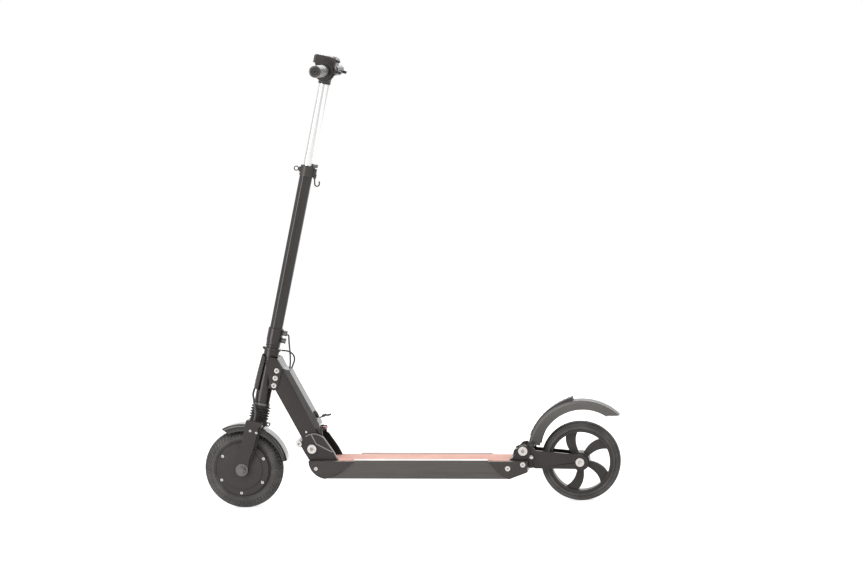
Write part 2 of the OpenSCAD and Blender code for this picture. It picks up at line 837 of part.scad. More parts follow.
module outer_tube() {
    color("#1e1e1e") at_steer() difference() {
        translate([0, 0, outer_v]) linear_extrude(outer_l) stem_profile(outer_d);
        translate([0, 0, outer_v - 1]) cylinder(d = bore_d, h = outer_l + 2);
        rod_x(0, outer_d, 0, pin_v, pin_r + 0.3);
    }
}

// Collar on top of the outer tube: clamp lugs behind, lock pin boss in front, hook ears below
pin_v = collar_v + 14.5;
pin_r = 3;
pin_boss_r = 6.5;
lug_half = 7;
hook_u = -collar_r - 3.6;
hook_v = collar_v - 0.5;
hook_pin_r = 1.5;
hook_eye_r = 3.2;
hook_ear_y = 2.5;
module stem_collar() {
    color("#161616") at_steer() difference() {
        union() {
            translate([0, 0, collar_v]) cylinder(r = collar_r, h = collar_h - 1.5);
            translate([0, 0, collar_top - 1.5]) cylinder(r1 = collar_r, r2 = collar_r - 1.5, h = 1.5);
            translate([-collar_r - 5.4, -lug_half, collar_top - 2]) cube([10, 2 * lug_half, 8]);
            slab(-lug_half, lug_half) polygon([
                [-collar_r - 5.4, collar_top - 5], [-collar_r - 5.4, collar_v + 9],
                [-collar_r - 0.5, collar_v + 3], [-12, collar_v + 3], [-12, collar_top - 5]
            ]);
            rod_x(collar_r - 4, collar_r + 3, 0, pin_v, pin_boss_r);
            both_sides() slab(hook_ear_y, hook_ear_y + 3) union() {
                translate([hook_u, hook_v]) circle(r = hook_eye_r);
                translate([hook_u - hook_eye_r, hook_v]) square([2 * hook_eye_r, collar_v + 9 - hook_v]);
            }
            rod_y([hook_u, 0, hook_v], hook_pin_r, -hook_ear_y - 2, hook_ear_y + 2);
        }
        translate([0, 0, collar_v - 1]) cylinder(d = outer_d + 2 * seat, h = outer_top - collar_v + 1 + seat);
        translate([0, 0, collar_v]) cylinder(r = inner_d / 2 + 0.3, h = collar_h + 2);
        translate([-collar_r - 20, -1, collar_top - 6]) cube([20 + collar_r, 2, 14]);
        rod_x(0, collar_r + 10, 0, pin_v, pin_r + run);
        rod_y([collar_bolt_u, 0, collar_bolt_v], sleeve_bolt_r + seat, -20, 20);
    }
}

// Rubber bellows between crown and head tube, with rounded ribs
bellows_v0 = crown_top + 0.3;
bellows_v1 = head_v - free - race_t - 0.3;
bellows_wall = 1.6;
rib_steps = 8;
function bellows_at(i, inset) =
    let (n = bellows_ribs * rib_steps, t = i / n)
    [
        bellows_r - bellows_rib * (0.5 + 0.5 * cos(360 * i / rib_steps)) - inset,
        bellows_v0 + (bellows_v1 - bellows_v0) * t
    ];
module bellows() {
    n = bellows_ribs * rib_steps;
    color("#141414") at_steer() rotate_extrude() polygon([
        for (i = [0 : n]) bellows_at(i, 0),
        for (i = [n : -1 : 0]) bellows_at(i, bellows_wall)
    ]);
}

// Coil spring inside the steerer, above the stanchion
spring_wire = 1.6;
spring_r = stanchion_d / 2 - 3;
spring_turns = 9;
spring_end = spring_wire + 0.3;
spring_path = coil_path(spring_r, stanchion_top + spring_end, spring_top - spring_end, spring_turns);
module fork_spring() {
    color("silver") at_steer() swept_tube(spring_path, spring_wire, 6);
}
spring_gap = min([
    for (i = [0 : len(spring_path) - 9]) norm(spring_path[i + 8] - spring_path[i])
]) - 2 * spring_wire;
echo(spring_gap = spring_gap);

// Control cables from the stem's foot into the top of the box
cable_r = 2.1;
cable_routes = [
    [[-31, 4, 352], [-35, 5, 350], [-38.5, 8, 338], [-43.6, 9, 321], [-49, 9, 302], [-52, 9, 288],
     [-53.5, 9, 277]],
    [[-22.6, -4, 308.5], [-28, -5, 309.6], [-36, -7, 310.3], [-46, -8, 308.6], [-55, -9, 302.4],
     [-59.3, -9, 292.5], [-58.4, -9, 281.5], [-57.5, -9, 276]]
];
module control_cables() {
    color("#101010") at_steer() for (route = cable_routes) swept_tube(spline(route, 3), cable_r, 8);
}

// Spring loaded pin that locks the stem's height, with its pull ring
pin_ring_r = 6.5;
pin_ring_hole_r = 4;
module height_pin() {
    tip = inner_d / 2 - 0.8;
    ring_u = collar_r + 3.4 + pin_ring_r;
    color("silver") at_steer() {
        rod_x(tip, ring_u - pin_ring_r + 1.5, 0, pin_v, pin_r);
        difference() {
            rod_y([ring_u, 0, pin_v], pin_ring_r, -1.6, 1.6);
            rod_y([ring_u, 0, pin_v], pin_ring_hole_r, -5, 5);
        }
    }
}

// Bag hook that hangs straight down from the collar's ears
hook_wire = 1.8;
hook_bend = 5.8;
hook_drop = 15;
module bag_hook() {
    color("#181818") at_steer() translate([hook_u, 0, hook_v]) rotate([0, steer_tilt, 0]) {
        difference() {
            rod_y([0, 0, 0], hook_eye_r, -hook_ear_y + free, hook_ear_y - free);
            rod_y([0, 0, 0], hook_pin_r + run, -5, 5);
        }
        translate([0, 0, -hook_drop]) cylinder(r = hook_wire, h = hook_drop - 2.5);
        translate([-hook_bend, 0, -hook_drop]) rotate([90, 0, 0]) rotate_extrude(angle = -180)
            translate([hook_bend, 0]) circle(r = hook_wire, $fn = 32);
        translate([-2 * hook_bend, 0, -hook_drop]) cylinder(r = hook_wire, h = 4.5);
        translate([-2 * hook_bend, 0, -hook_drop + 4.5]) sphere(r = hook_wire + 0.4, $fn = 32);
    }
}

// Inner stem tube with a key groove down its front
groove_w = 8;
groove_d = 1.2;
inner_v0 = collar_top - inner_in;
inner_v1 = console_v + 42;
module inner_tube() {
    wall = 2;
    hollow_r = inner_d / 2 - wall - groove_d;
    color("silver") at_steer() difference() {
        translate([0, 0, inner_v0]) linear_extrude(inner_v1 - inner_v0) stem_profile(inner_d);
        translate([0, 0, inner_v0 - 1]) cylinder(r = hollow_r, h = inner_v1 - inner_v0 + 2);
        translate([inner_d / 2 - groove_d, -groove_w / 2, inner_v0 - 1])
            cube([5, groove_w, console_v - inner_v0]);
    }
}

// Console: moulded box for the display, with a round stub and a clevis for each bar
corner_r = 6;
stub_y1 = pivot_y + 12;
slot_y0 = pivot_y - 13;
tongue_half = 5;
bar_pin_r = 4;
flange_y0 = console_w / 2 + 2;
flange_t_y = 4;
module console_plan(inset) {
    offset(corner_r - inset / 2, $fn = 32)
        translate([console_u0 + corner_r + inset / 2, -console_w / 2 + corner_r + inset / 2])
        square([console_l - 2 * corner_r - inset, console_w - 2 * corner_r - inset]);
}
module bar_stub(round_r) {
    difference() {
        union() {
            rod_y([0, 0, bar_v], stub_r, 20, pivot_y);
            intersection() {
                rod_y([0, 0, bar_v], stub_r, pivot_y - 1, stub_y1);
                translate([-20, pivot_y, bar_v]) rotate([0, 90, 0]) cylinder(r = stub_y1 - pivot_y, h = 40);
            }
            rod_y([0, 0, bar_v], round_r, flange_y0, flange_y0 + flange_t_y);
            rod_y([0, 0, bar_v], round_r - 2, flange_y0 - 8, flange_y0 + 1);
        }
        translate([-tongue_half - free / 2, slot_y0, bar_v - 20]) cube([2 * tongue_half + free, 40, 40]);
        rod_x(-20, 20, pivot_y, bar_v, bar_pin_r + run);
    }
}
module console() {
    edge = 3;
    color("#1b1b1b") at_steer() difference() {
        union() {
            translate([0, 0, console_v]) cylinder(r = inner_d / 2 + 2.6, h = 14);
            hull() {
                translate([0, 0, console_v + 10]) cylinder(r = inner_d / 2 + 2.6, h = 1, $fn = 32);
                translate([0, 0, console_top - console_h]) linear_extrude(1) console_plan(4);
            }
            hull() {
                translate([0, 0, console_top - console_h]) linear_extrude(console_h - edge) console_plan(0);
                translate([0, 0, console_top - 0.5]) linear_extrude(0.5) console_plan(edge);
            }
            bar_stub(flange_r);
            mirror([0, 1, 0]) bar_stub(stub_r + 3);
        }
        translate([0, 0, console_v - 1])
            cylinder(d = inner_d + 2 * seat, h = inner_v1 - console_v + 1 + seat);
        display_plate(display_seat, display_seat);
        translate([power_u, 0, console_top - 8]) cylinder(r = button_r + free, h = 10);
        rod_x(console_u0 - 5, console_u0 + 10, horn_y, horn_v, horn_r + free);
    }
}

// Display window let into the console's top
display_seat = 0.1;
display_t = 2;
display_proud = 0.8;
display_u0 = console_u0 + 17;
display_u1 = console_u0 + console_l - 5;
display_half = console_w / 2 - 7;
module display_plate(grow, below) {
    translate([display_u0 - grow, -display_half - grow, console_top + display_proud - display_t - below])
        cube([display_u1 - display_u0 + 2 * grow, 2 * (display_half + grow), display_t + below]);
}
module display() {
    color("lightgray") at_steer() display_plate(0, 0);
}

power_u = console_u0 + 9;
button_r = 4.5;
module power_button() {
    color("#444444") at_steer() translate([power_u, 0, console_top - 6]) cylinder(r = button_r, h = 7.6);
}

horn_v = console_top - 8;
horn_y = 16;
horn_r = 3.2;
horn_out = 8;
module horn_button() {
    color("#303030") at_steer() rod_x(console_u0 - horn_out, console_u0 + 7, horn_y, horn_v, horn_r);
}

// Folding half of the handlebar: tongue and pin in the console's clevis, then the bar tube
bar_r = 11;
shoulder_y = pivot_y + 15;
shoulder_w = 6;
module bar_half() {
    at_steer() translate([0, 0, bar_v]) {
        translate([-tongue_half, 0, 0]) along_x(0, 2 * tongue_half) union() {
            translate([pivot_y, 0]) circle(r = 9.5);
            translate([pivot_y, -8]) square([shoulder_y - pivot_y + 1, 16]);
        }
        rod_x(-12, 12, pivot_y, 0, bar_pin_r);
        rod_y([0, 0, 0], stub_r - 0.5, shoulder_y, shoulder_y + shoulder_w);
        rod_y([0, 0, 0], bar_r, shoulder_y, bar_reach - 3);
    }
}
module left_bar() {
    color("#222222") bar_half();
}
module right_bar() {
    color("#222222") mirror([0, 1, 0]) bar_half();
}

// Rubber grip, ringed with shallow grooves and closed by a domed end
grip_groove = 1;
grip_rings = 9;
module grip_half() {
    y0 = shoulder_y + shoulder_w + 0.3;
    step = (bar_reach - y0 - 24) / grip_rings;
    at_steer() translate([0, 0, bar_v]) rotate([-90, 0, 0]) rotate_extrude() difference() {
        union() {
            translate([0, y0]) square([grip_r - 1, bar_reach - y0 - 1]);
            translate([0, y0]) square([grip_r + 1, 4]);
            translate([0, y0]) square([grip_r, bar_reach - y0 - 3]);
            translate([0, bar_reach - 3]) square([grip_r - 2, 3]);
        }
        translate([-1, y0 - 1]) square([bar_r + seat + 1, bar_reach - 3 + seat - y0 + 1]);
        for (i = [0 : grip_rings]) translate([grip_r, y0 + 14 + i * step]) circle(r = grip_groove, $fn = 16);
    }
}
module left_grip() {
    color("#2a2a2a") grip_half();
}
module right_grip() {
    color("#2a2a2a") mirror([0, 1, 0]) grip_half();
}

// Thumb lever that turns on the bar stub beside the flange
lever_reach = 43;
module thumb_lever(hub) {
    at_steer() translate([0, 0, bar_v]) difference() {
        union() {
            rod_y([0, 0, 0], hub, lever_y0, lever_y0 + lever_w);
            slab(lever_y0, lever_y0 + lever_w + 4) translate([-lever_reach + 8, -26])
                arc_band(26, 33, 58, 106);
        }
        rod_y([0, 0, 0], stub_r + run, 0, 100);
    }
}
module brake_lever() {
    color("#2e2e2e") thumb_lever(22);
}
module throttle_lever() {
    color("#2e2e2e") mirror([0, 1, 0]) thumb_lever(stub_r + 3.5);
}

// Fork: crown with an eye behind it, and two flat legs that taper to rounded ends at the axle
leg_end_r = 15;
clip_u = -27;
clip_r = 5.5;
clip_v = crown_v + clip_r;
clip_half = 6;
leg_step = 2.2;
module leg_outline(rear) {
    softened(3) polygon([
        [25, crown_top], [25, axle_v + 24], [rear - 2, axle_v + 22], [rear - 9, axle_v + 58],
        [rear - 12, crown_top]
    ]);
    hull() {
        translate([axle_u, axle_v]) circle(r = leg_end_r);
        translate([axle_u - 1, axle_v + 30]) circle(r = 12);
    }
}
module fork() {
    color("#1f1f1f") at_steer() difference() {
        union() {
            translate([-16, -leg_out, crown_v]) cube([40, 2 * leg_out, crown_h]);
            slab(-clip_half, clip_half) hull() {
                translate([-14, clip_v]) circle(r = clip_r);
                translate([clip_u, clip_v]) circle(r = clip_r);
            }
            both_sides() {
                slab(leg_in, leg_out - leg_step) leg_outline(-5);
                slab(leg_out - leg_step - seat, leg_out) leg_outline(1.5);
            }
        }
        rod_y([axle_u, 0, axle_v], motor_axle_d / 2 + seat, -100, 100);
        translate([0, 0, crown_v - 1]) cylinder(d = stanchion_d + 2 * seat, h = crown_h + 2);
        rod_y([clip_u, 0, clip_v], clip_r / 2, -20, 20);
    }
}

module stanchion() {
    color("lightgray") at_steer() tube_z(stanchion_d / 2, stanchion_d / 2 - 2, crown_v + 1, stanchion_top);
}

// Front mudguard: curved top with a skirt down each side
skirt_half = leg_in - 1.5;
module front_fender() {
    color("#1d1d1d") at_steer() translate([axle_u, 0, axle_v]) rotate([0, steer_tilt, 0]) mirror([1, 0, 0])
        intersection() {
            guard_ring(wheel_r - 9, front_fender_r, skirt_half);
            slab(-50, 50) difference() {
                arc_band(60, front_fender_r + 10, 11, 121);
                translate([3, -5]) circle(r = wheel_r + 2, $fn = 128);
                polygon([[-76, 117], [-57, 104.5], [-38, 92], [0, 67], [-150, 20]]);
            }
        }
}

module motor_axle() {
    color("silver") at_steer() rod_y([axle_u, 0, axle_v], motor_axle_d / 2, -leg_out - 11, leg_out + 11);
}

stator_r = 48;
stator_half = 14;
module stator() {
    color("peru") at_steer() difference() {
        rod_y([axle_u, 0, axle_v], stator_r, -stator_half, stator_half);
        rod_y([axle_u, 0, axle_v], motor_axle_d / 2 + seat, -50, 50);
        for (a = [0 : 20 : 340]) translate([axle_u, 0, axle_v]) rotate([0, a, 0])
            translate([34, -50, -3]) cube([10, 100, 6]);
    }
}

// Axle washers and nuts, and the mudguard screws in the legs
module fork_fasteners() {
    nut_r = 10;
    color("#3a3a3a") at_steer() both_sides() {
        difference() {
            union() {
                rod_y([axle_u, 0, axle_v], leg_end_r + 0.5, leg_out, leg_out + 1.6);
                translate([axle_u, leg_out + 9, axle_v]) rotate([90, 0, 0])
                    cylinder(r = nut_r, h = 8, $fn = 6);
            }
            rod_y([axle_u, 0, axle_v], motor_axle_d / 2 + seat, 0, 100);
        }
        for (p = [[9.3, -25], [-7, -27]]) difference() {
            rod_y([p[0], 0, crown_top + p[1]], 3, leg_out, leg_out + 1.6);
            hex_cut([p[0], 0, crown_top + p[1]], 1.5, leg_out + 1.6, 1);
        }
    }
}

// Motor lead from under the headlight, past the bellows and into the left leg
motor_cable_r = 2.8;
motor_cable_route = [
    [24, 6, 202.8], [24.5, 8, 196], [24, 13, 187], [20, 19, 178], [15, 26, 167], [9, 30, 154], [6, 33, 143],
    [5, 37, 133], [5, 38, 125.2]
];
module motor_cable() {
    color("#101010") at_steer() swept_tube(spline(motor_cable_route, 2), motor_cable_r, 8);
}

// Turn an outline of radius and width round a wheel's axle
module wheel_ring() {
    rotate([90, 0, 0]) rotate_extrude($fn = 128) children();
}
module at_front_axle() {
    stand() translate(front_axle) children();
}
module at_rear_axle() {
    stand() translate(rear_axle_at) children();
}

// Half width of the motor's steel ring, and the step where the covers sit on it
ring_half = hub_w / 2 - 5;
cover_rim_t = 2.5;
module hub_shell() {
    magnet_half = 13;
    color("#2c2c2c") at_front_axle() wheel_ring() {
        translate([hub_r - 12, -ring_half]) square([12 - 2, 2 * ring_half]);
        translate([hub_r - 12, -front_tyre_w / 2 + 3]) square([12, front_tyre_w - 6]);
        translate([stator_r + 1, -magnet_half]) square([hub_r - 12 - stator_r, 2 * magnet_half]);
    }
}

// Motor covers, each with its bearing seat, raised middle and ring of screws
bearing_r = 14;
bearing_w = 7;
first_screw = 86.6;
module hub_covers() {
    seat_y0 = ring_half - bearing_w - 0.5;
    hole_r = motor_axle_d / 2 + 2;
    rim_y = ring_half + cover_rim_t;
    color("#242424") at_front_axle() both_sides() difference() {
        union() {
            wheel_ring() {
                translate([hole_r, -rim_y]) square([hub_r - 2.5 - hole_r, cover_rim_t - seat]);
                translate([hole_r, -hub_w / 2]) square([cover_r - 2 - hole_r, hub_w / 2 - ring_half - 1]);
                translate([hole_r, -hub_w / 2 + 1.5]) square([cover_r - hole_r, hub_w / 2 - ring_half - 2.5]);
                translate([bearing_r + seat, -ring_half - 1]) square([5, ring_half + 1 - seat_y0]);
            }
            for (i = [0 : cover_screws - 1]) rotate([0, first_screw + 360 * i / cover_screws, 0])
                rod_y([cover_screw_r, 0, 0], 3.6, -rim_y - 2, -rim_y + 0.5);
        }
        for (i = [0 : cover_screws - 1]) rotate([0, first_screw + 360 * i / cover_screws, 0])
            mirror([0, 1, 0]) hex_cut([cover_screw_r, 0, 0], 1.8, rim_y + 2, 1.2);
        rod_y([0, 0, 0], hole_r - 0.5, -100, 100);
    }
}

module motor_bearings() {
    inner_r = motor_axle_d / 2 + run;
    color("lightgray") at_front_axle() both_sides() wheel_ring()
        translate([inner_r, -ring_half]) square([bearing_r - inner_r, bearing_w]);
}

// Balloon tyre with grooves round its crown
module tyre_section(w, r_in, grooves) {
    groove_w = 2.4;
    groove_d = 1.8;
    difference() {
        intersection() {
            translate([wheel_r - w / 2, 0]) circle(d = w, $fn = 96);
            translate([r_in + seat, -w]) square([wheel_r, 2 * w]);
        }
        for (y = grooves) translate([wheel_r - w / 2 + sqrt(w * w / 4 - y * y) - groove_d, y - groove_w / 2])
            square([20, groove_w]);
    }
}
module front_tyre() {
    color("#181818") at_front_axle() wheel_ring()
        tyre_section(front_tyre_w, hub_r, [-front_tyre_w / 4, 0, front_tyre_w / 4]);
}

// Spoke outline that curls back and widens from hub to rim
spoke_curl = 17;
spoke_flare = 1.6;
spoke_steps = 10;
function spoke_point(t, side) =
    let (
        r = rear_hub_r - 4 + (rim_window_r + 3 - rear_hub_r + 4) * t,
        half = spoke_w * (0.75 + (spoke_flare - 0.75) * t) / 2,
        a = -spoke_curl * (t * t - 0.35)
    )
    [r * cos(a + side * asin(half / r)), r * sin(a + side * asin(half / r))];
module spoke_outline() {
    polygon([
        for (i = [0 : spoke_steps]) spoke_point(i / spoke_steps, 1),
        for (i = [spoke_steps : -1 : 0]) spoke_point(i / spoke_steps, -1)
    ]);
}
rear_hub_half = rear_tyre_w / 2 + 4;
rear_bearing_r = 13;
rear_bearing_w = 9;
module rear_rim() {
    rim_half = rear_tyre_w / 2 - 3;
    spoke_half = 8;
    first_spoke = 62.6;
    color("#222222") at_rear_axle() difference() {
        union() {
            wheel_ring() translate([rim_window_r, -rim_half]) square([rim_r - rim_window_r, 2 * rim_half]);
            slab(-spoke_half, spoke_half) intersection() {
                union() for (i = [0 : spokes - 1]) rotate(first_spoke + 360 * i / spokes)
                    mirror([0, 1]) spoke_outline();
                circle(r = rim_window_r + 1, $fn = 128);
            }
            rod_y([0, 0, 0], rear_hub_r, -rear_hub_half, rear_hub_half);
        }
        rod_y([0, 0, 0], rear_axle_d / 2 + 2, -50, 50);
        both_sides() rod_y([0, 0, 0], rear_bearing_r + seat, rear_hub_half - rear_bearing_w, 50);
    }
}

module rear_tyre() {
    color("#181818") at_rear_axle() wheel_ring() tyre_section(rear_tyre_w, rim_r, [0]);
}

module rear_bearings() {
    color("lightgray") at_rear_axle() both_sides() wheel_ring()
        translate([rear_axle_d / 2 + run, -rear_hub_half])
        square([rear_bearing_r - rear_axle_d / 2 - run, rear_bearing_w - seat]);
}

// Swing arm: two bars from the pivot back to the axle, a cross wall and a nose over the buffers
arm_end_r = 19;
module arm_outline() {
    s = [swing_at[0], swing_at[2]];
    a = [rear_axle_at[0], rear_axle_at[2]];
    union() {
        softened(4) polygon([
            s + [24, 2], s + [24, -8], [s[0], base_top + 4], [-deck_rear - 4, base_top + 2],
            [-deck_rear - 5, deck_z + 30], [-deck_rear - 15, deck_z + 23], a + [2, -17],
            a + [2, arm_end_r], [-deck_rear - 15, deck_z + 68], fender_pin_lug + [-9, -8], s + [6, 10]
        ]);
        translate(a) circle(r = arm_end_r);
        translate(fender_pin_lug) circle(r = 9);
    }
}
fender_pin_lug = [fender_pin_at[0], fender_pin_at[2]];
fender_pin_r = 4;
module swing_arm() {
    wall_x = -deck_rear - 15;
    color("#2a2a2a") stand() difference() {
        union() {
            both_sides() slab(arm_in, arm_out) arm_outline();
            translate([wall_x, -arm_in - 1, deck_z + 26]) cube([8, 2 * arm_in + 2, 34]);
            translate([nose_x - 8, -arm_in - 1, nose_z]) cube([12, 2 * arm_in + 2, 6]);
        }
        rod_y(swing_at, pivot_d / 2 + run, -100, 100);
        rod_y(rear_axle_at, rear_axle_d / 2 + seat, -100, 100);
        rod_y(fender_pin_at, fender_pin_r + run, -100, 100);
    }
}

module rear_axle() {
    head_r = 10.8;
    color("silver") stand() {
        rod_y(rear_axle_at, rear_axle_d / 2, -arm_out - 1, arm_out + 1);
        both_sides() difference() {
            rod_y(rear_axle_at, head_r, arm_out, arm_out + 4);
            hex_cut(rear_axle_at, head_r * 0.42, arm_out + 4, 2.4);
        }
        both_sides() difference() {
            rod_y(rear_axle_at, rear_axle_d / 2 + 3, rear_hub_half + free, arm_in);
            rod_y(rear_axle_at, rear_axle_d / 2, 0, 100);
        }
    }
}

// Rear mudguard, pressed down with the foot to brake: crowned arch, side skirts, brake rib, pivot pin
rear_tail = 96.5;
module rear_arch() {
    difference() {
        arc_band(60, rear_fender_r + 20, 12, 150);
        translate([-3.9, 3.4]) circle(r = rear_skirt_r, $fn = 128);
        translate([-200, -100]) square([136, 100 + rear_tail]);
    }
}
module rear_fender() {
    color("#3a3a3a") stand() {
        translate(fender_at) {
            intersection() {
                guard_ring(60, rear_fender_r, rear_fender_half);
                slab(-50, 50) rear_arch();
            }
            slab(-8, 8) arc_band(rear_skirt_r + 5, rear_fender_r - 1, 98, 114);
        }
        rod_y(fender_pin_at, fender_pin_r, -arm_out, arm_out);
        rod_y(fender_pin_at, 8, -rear_fender_half, rear_fender_half);
    }
}

// Ribbed rubber tread on the mudguard, thicker towards its raised upper end
pad_a0 = 20;
pad_a1 = 81;
pad_rise = 9.5;
pad_ribs = 12;
module fender_pad() {
    half = rear_fender_half - guard_round - 2;
    function pad_edge(i) =
        let (t = i / (2 * pad_ribs), a = pad_a0 + (pad_a1 - pad_a0) * t)
        (rear_fender_r + 2.6 + (pad_rise - 2.6) * pow(t, 4) - (i % 2 == 0 ? 0 : 0.9)) * [cos(a), sin(a)];
    color("#2b2b2b") stand() translate(fender_at) slab(-half, half) difference() {
        polygon([
            for (i = [0 : 2 * pad_ribs]) pad_edge(i),
            for (a = [pad_a1, pad_a0]) (rear_fender_r - 20) * [cos(a), sin(a)]
        ]);
        circle(r = rear_fender_r + seat, $fn = 128);
    }
}

deck_shell();
grip_mat();
front_end_cap();
rear_end_cap();
deck_screws();
battery_pack();
hinge_bracket();
pivot_bolts();
rear_bracket();
rear_buffers();
stem_box();
controller();
head_tube();
head_plates();
head_bolts();
headset_bearings();
headlight_housing();
headlight_lens();
charge_socket();
release_lever();
charge_cap();
steerer_tube();
stem_sleeve();
stem_bolts();
outer_tube();
stem_collar();
bellows();
fork_spring();
control_cables();
height_pin();
bag_hook();
inner_tube();
console();
display();
left_bar();
left_grip();
right_bar();
right_grip();
throttle_lever();
brake_lever();
power_button();
horn_button();
fork();
stanchion();
front_fender();
motor_axle();
stator();
fork_fasteners();
motor_cable();
hub_shell();
hub_covers();
front_tyre();
motor_bearings();
swing_arm();
rear_axle();
rear_rim();
rear_tyre();
rear_bearings();
rear_fender();
fender_pad();
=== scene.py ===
"""Dresses a folding electric kick scooter: finishes, tyres, grips, mat, bellows, leads and studio."""

import json
import math

import bmesh
import bpy
from bpy.props import FloatProperty, FloatVectorProperty, IntProperty, PointerProperty
from mathutils import Matrix, Vector

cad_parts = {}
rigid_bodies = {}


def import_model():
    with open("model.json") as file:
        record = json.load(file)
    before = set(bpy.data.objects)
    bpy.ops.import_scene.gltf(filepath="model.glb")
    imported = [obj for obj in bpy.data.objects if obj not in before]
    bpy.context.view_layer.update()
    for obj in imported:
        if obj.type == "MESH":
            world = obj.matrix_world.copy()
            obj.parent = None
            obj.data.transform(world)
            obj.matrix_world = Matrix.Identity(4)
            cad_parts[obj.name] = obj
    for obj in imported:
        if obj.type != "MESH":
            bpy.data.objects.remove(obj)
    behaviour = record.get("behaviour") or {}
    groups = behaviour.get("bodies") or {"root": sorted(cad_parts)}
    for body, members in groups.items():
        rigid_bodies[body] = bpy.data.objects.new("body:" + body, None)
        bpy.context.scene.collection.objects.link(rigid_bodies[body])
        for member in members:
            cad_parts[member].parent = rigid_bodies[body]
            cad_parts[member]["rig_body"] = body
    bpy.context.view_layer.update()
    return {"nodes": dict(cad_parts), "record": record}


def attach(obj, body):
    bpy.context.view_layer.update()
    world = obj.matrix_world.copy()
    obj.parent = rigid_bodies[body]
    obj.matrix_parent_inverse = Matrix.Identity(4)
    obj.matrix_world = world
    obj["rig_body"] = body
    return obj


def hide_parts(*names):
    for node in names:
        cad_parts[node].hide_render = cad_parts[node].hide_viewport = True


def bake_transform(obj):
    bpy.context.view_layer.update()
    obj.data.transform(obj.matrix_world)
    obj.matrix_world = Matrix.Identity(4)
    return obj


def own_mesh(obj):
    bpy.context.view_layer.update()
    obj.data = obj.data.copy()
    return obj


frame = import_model()

bl_info = {
    "name": "Kick Scooter Dresser",
    "version": (1, 0, 0),
    "blender": (4, 5, 0),
    "location": "View3D > Sidebar > Scooter",
    "description": "Gives a packed kick scooter its finishes, rubber parts, leads and studio",
    "category": "Object",
}

MM = 0.001
FULL_TURN = 2 * math.pi


def shift(x, y, z):
    """Move by millimetres."""
    return Matrix.Translation((x * MM, y * MM, z * MM))


def turn(degrees, axis):
    return Matrix.Rotation(math.radians(degrees), 4, axis)


# The frames that the source draws its pieces in, all in the standing scooter's frame
WHEEL_R = 100
WHEELBASE = 851
AXLE_RISE = 20.5
STAND = (
    shift(0, 0, WHEEL_R)
    @ Matrix.Rotation(-math.atan(AXLE_RISE / WHEELBASE), 4, "Y")
    @ shift(0, 0, -WHEEL_R - AXLE_RISE / 2)
)
STEER_TILT = 12
STEER_FOOT_X = 414.1
STEER = STAND @ shift(STEER_FOOT_X, 0, WHEEL_R) @ turn(-STEER_TILT, "Y")
FRONT_AXLE = STAND @ shift(WHEELBASE / 2, 0, WHEEL_R)
REAR_AXLE = STAND @ shift(-WHEELBASE / 2, 0, WHEEL_R + AXLE_RISE)
ALONG_LEFT = turn(-90, "X")
ALONG_RIGHT = turn(90, "X")

# Levels up the steering axis, and how far the fork slides along it
CROWN_TOP = 124.53
HEAD_V = 170.53
BAR_V = 1021.93
CONSOLE_TOP = 1057.93

# Painted reflections and shade on the drawn inner tube: share of its colour at its rear and front edges, and
# at places from 0 to 1 between
TUBE_R = 13
TUBE_REFLECTION_EDGES = (0.55, 0.8)
TUBE_REFLECTION_BANDS = {0.14: 0.62, 0.19: 0.97, 0.4: 0.99, 0.45: 0.72, 0.58: 0.7, 0.63: 1.0, 0.93: 1.0}

# Colours that only one finish uses
# Painted highlight: the light grey of the hinge cheeks' rim
RIM_HIGHLIGHT = (0.2, 0.185, 0.18)
# Painted highlight: the light grey of the deck lip's rounded top
LIP_HIGHLIGHT = (0.8, 0.73, 0.71)
DRY_DUST = (0.19, 0.178, 0.168)
BLEACHED_MAT = (0.78, 0.55, 0.47)
CELL_WRAP = (0.05, 0.11, 0.3)
POTTING = (0.04, 0.15, 0.07)
COPPER = (0.72, 0.4, 0.22)


def place(matrix, point):
    """A point in millimetres of one of the frames, in the standing frame in metres."""
    return matrix @ (Vector(point) * MM)


class ScooterColours(bpy.types.PropertyGroup):
    """Base colours of the finishes"""

    paint: FloatVectorProperty(
        name="Frame paint", description="Satin powder coat on the frame", subtype="COLOR",
        size=3, min=0, max=1, default=(0.0195, 0.0158, 0.0147),
    )
    plastic: FloatVectorProperty(
        name="Moulded plastic", description="Grained black mouldings", subtype="COLOR",
        size=3, min=0, max=1, default=(0.029, 0.0255, 0.023),
    )
    deck: FloatVectorProperty(
        name="Deck profile", description="Dark anodised extrusion", subtype="COLOR",
        size=3, min=0, max=1, default=(0.062, 0.056, 0.051),
    )
    gloss: FloatVectorProperty(
        name="Front mudguard", description="Glossy black moulding", subtype="COLOR",
        size=3, min=0, max=1, default=(0.022, 0.0205, 0.0195),
    )
    guard: FloatVectorProperty(
        name="Rear mudguard", description="Grey-black moulding", subtype="COLOR",
        size=3, min=0, max=1, default=(0.088, 0.083, 0.077),
    )
    tyre: FloatVectorProperty(
        name="Tyre rubber", description="Dusty black tyre rubber", subtype="COLOR",
        size=3, min=0, max=1, default=(0.023, 0.0206, 0.0188),
    )
    rubber: FloatVectorProperty(
        name="Soft rubber", description="Grips, bellows and leads", subtype="COLOR",
        size=3, min=0, max=1, default=(0.016, 0.0135, 0.0128),
    )
    mat: FloatVectorProperty(
        name="Standing mat", description="Salmon red rubber", subtype="COLOR",
        size=3, min=0, max=1, default=(0.62, 0.33, 0.27),
    )
    red: FloatVectorProperty(
        name="Release lever", description="Dull red enamel", subtype="COLOR",
        size=3, min=0, max=1, default=(0.33, 0.06, 0.09),
    )
    bare: FloatVectorProperty(
        name="Bare aluminium", description="Inner stem tube", subtype="COLOR",
        size=3, min=0, max=1, default=(0.78, 0.78, 0.77),
    )
    plated: FloatVectorProperty(
        name="Plated steel", description="Bolts and screws", subtype="COLOR",
        size=3, min=0, max=1, default=(0.5, 0.47, 0.455),
    )
    steel: FloatVectorProperty(
        name="Dark steel", description="Axle, nuts and inner tubes", subtype="COLOR",
        size=3, min=0, max=1, default=(0.12, 0.115, 0.11),
    )


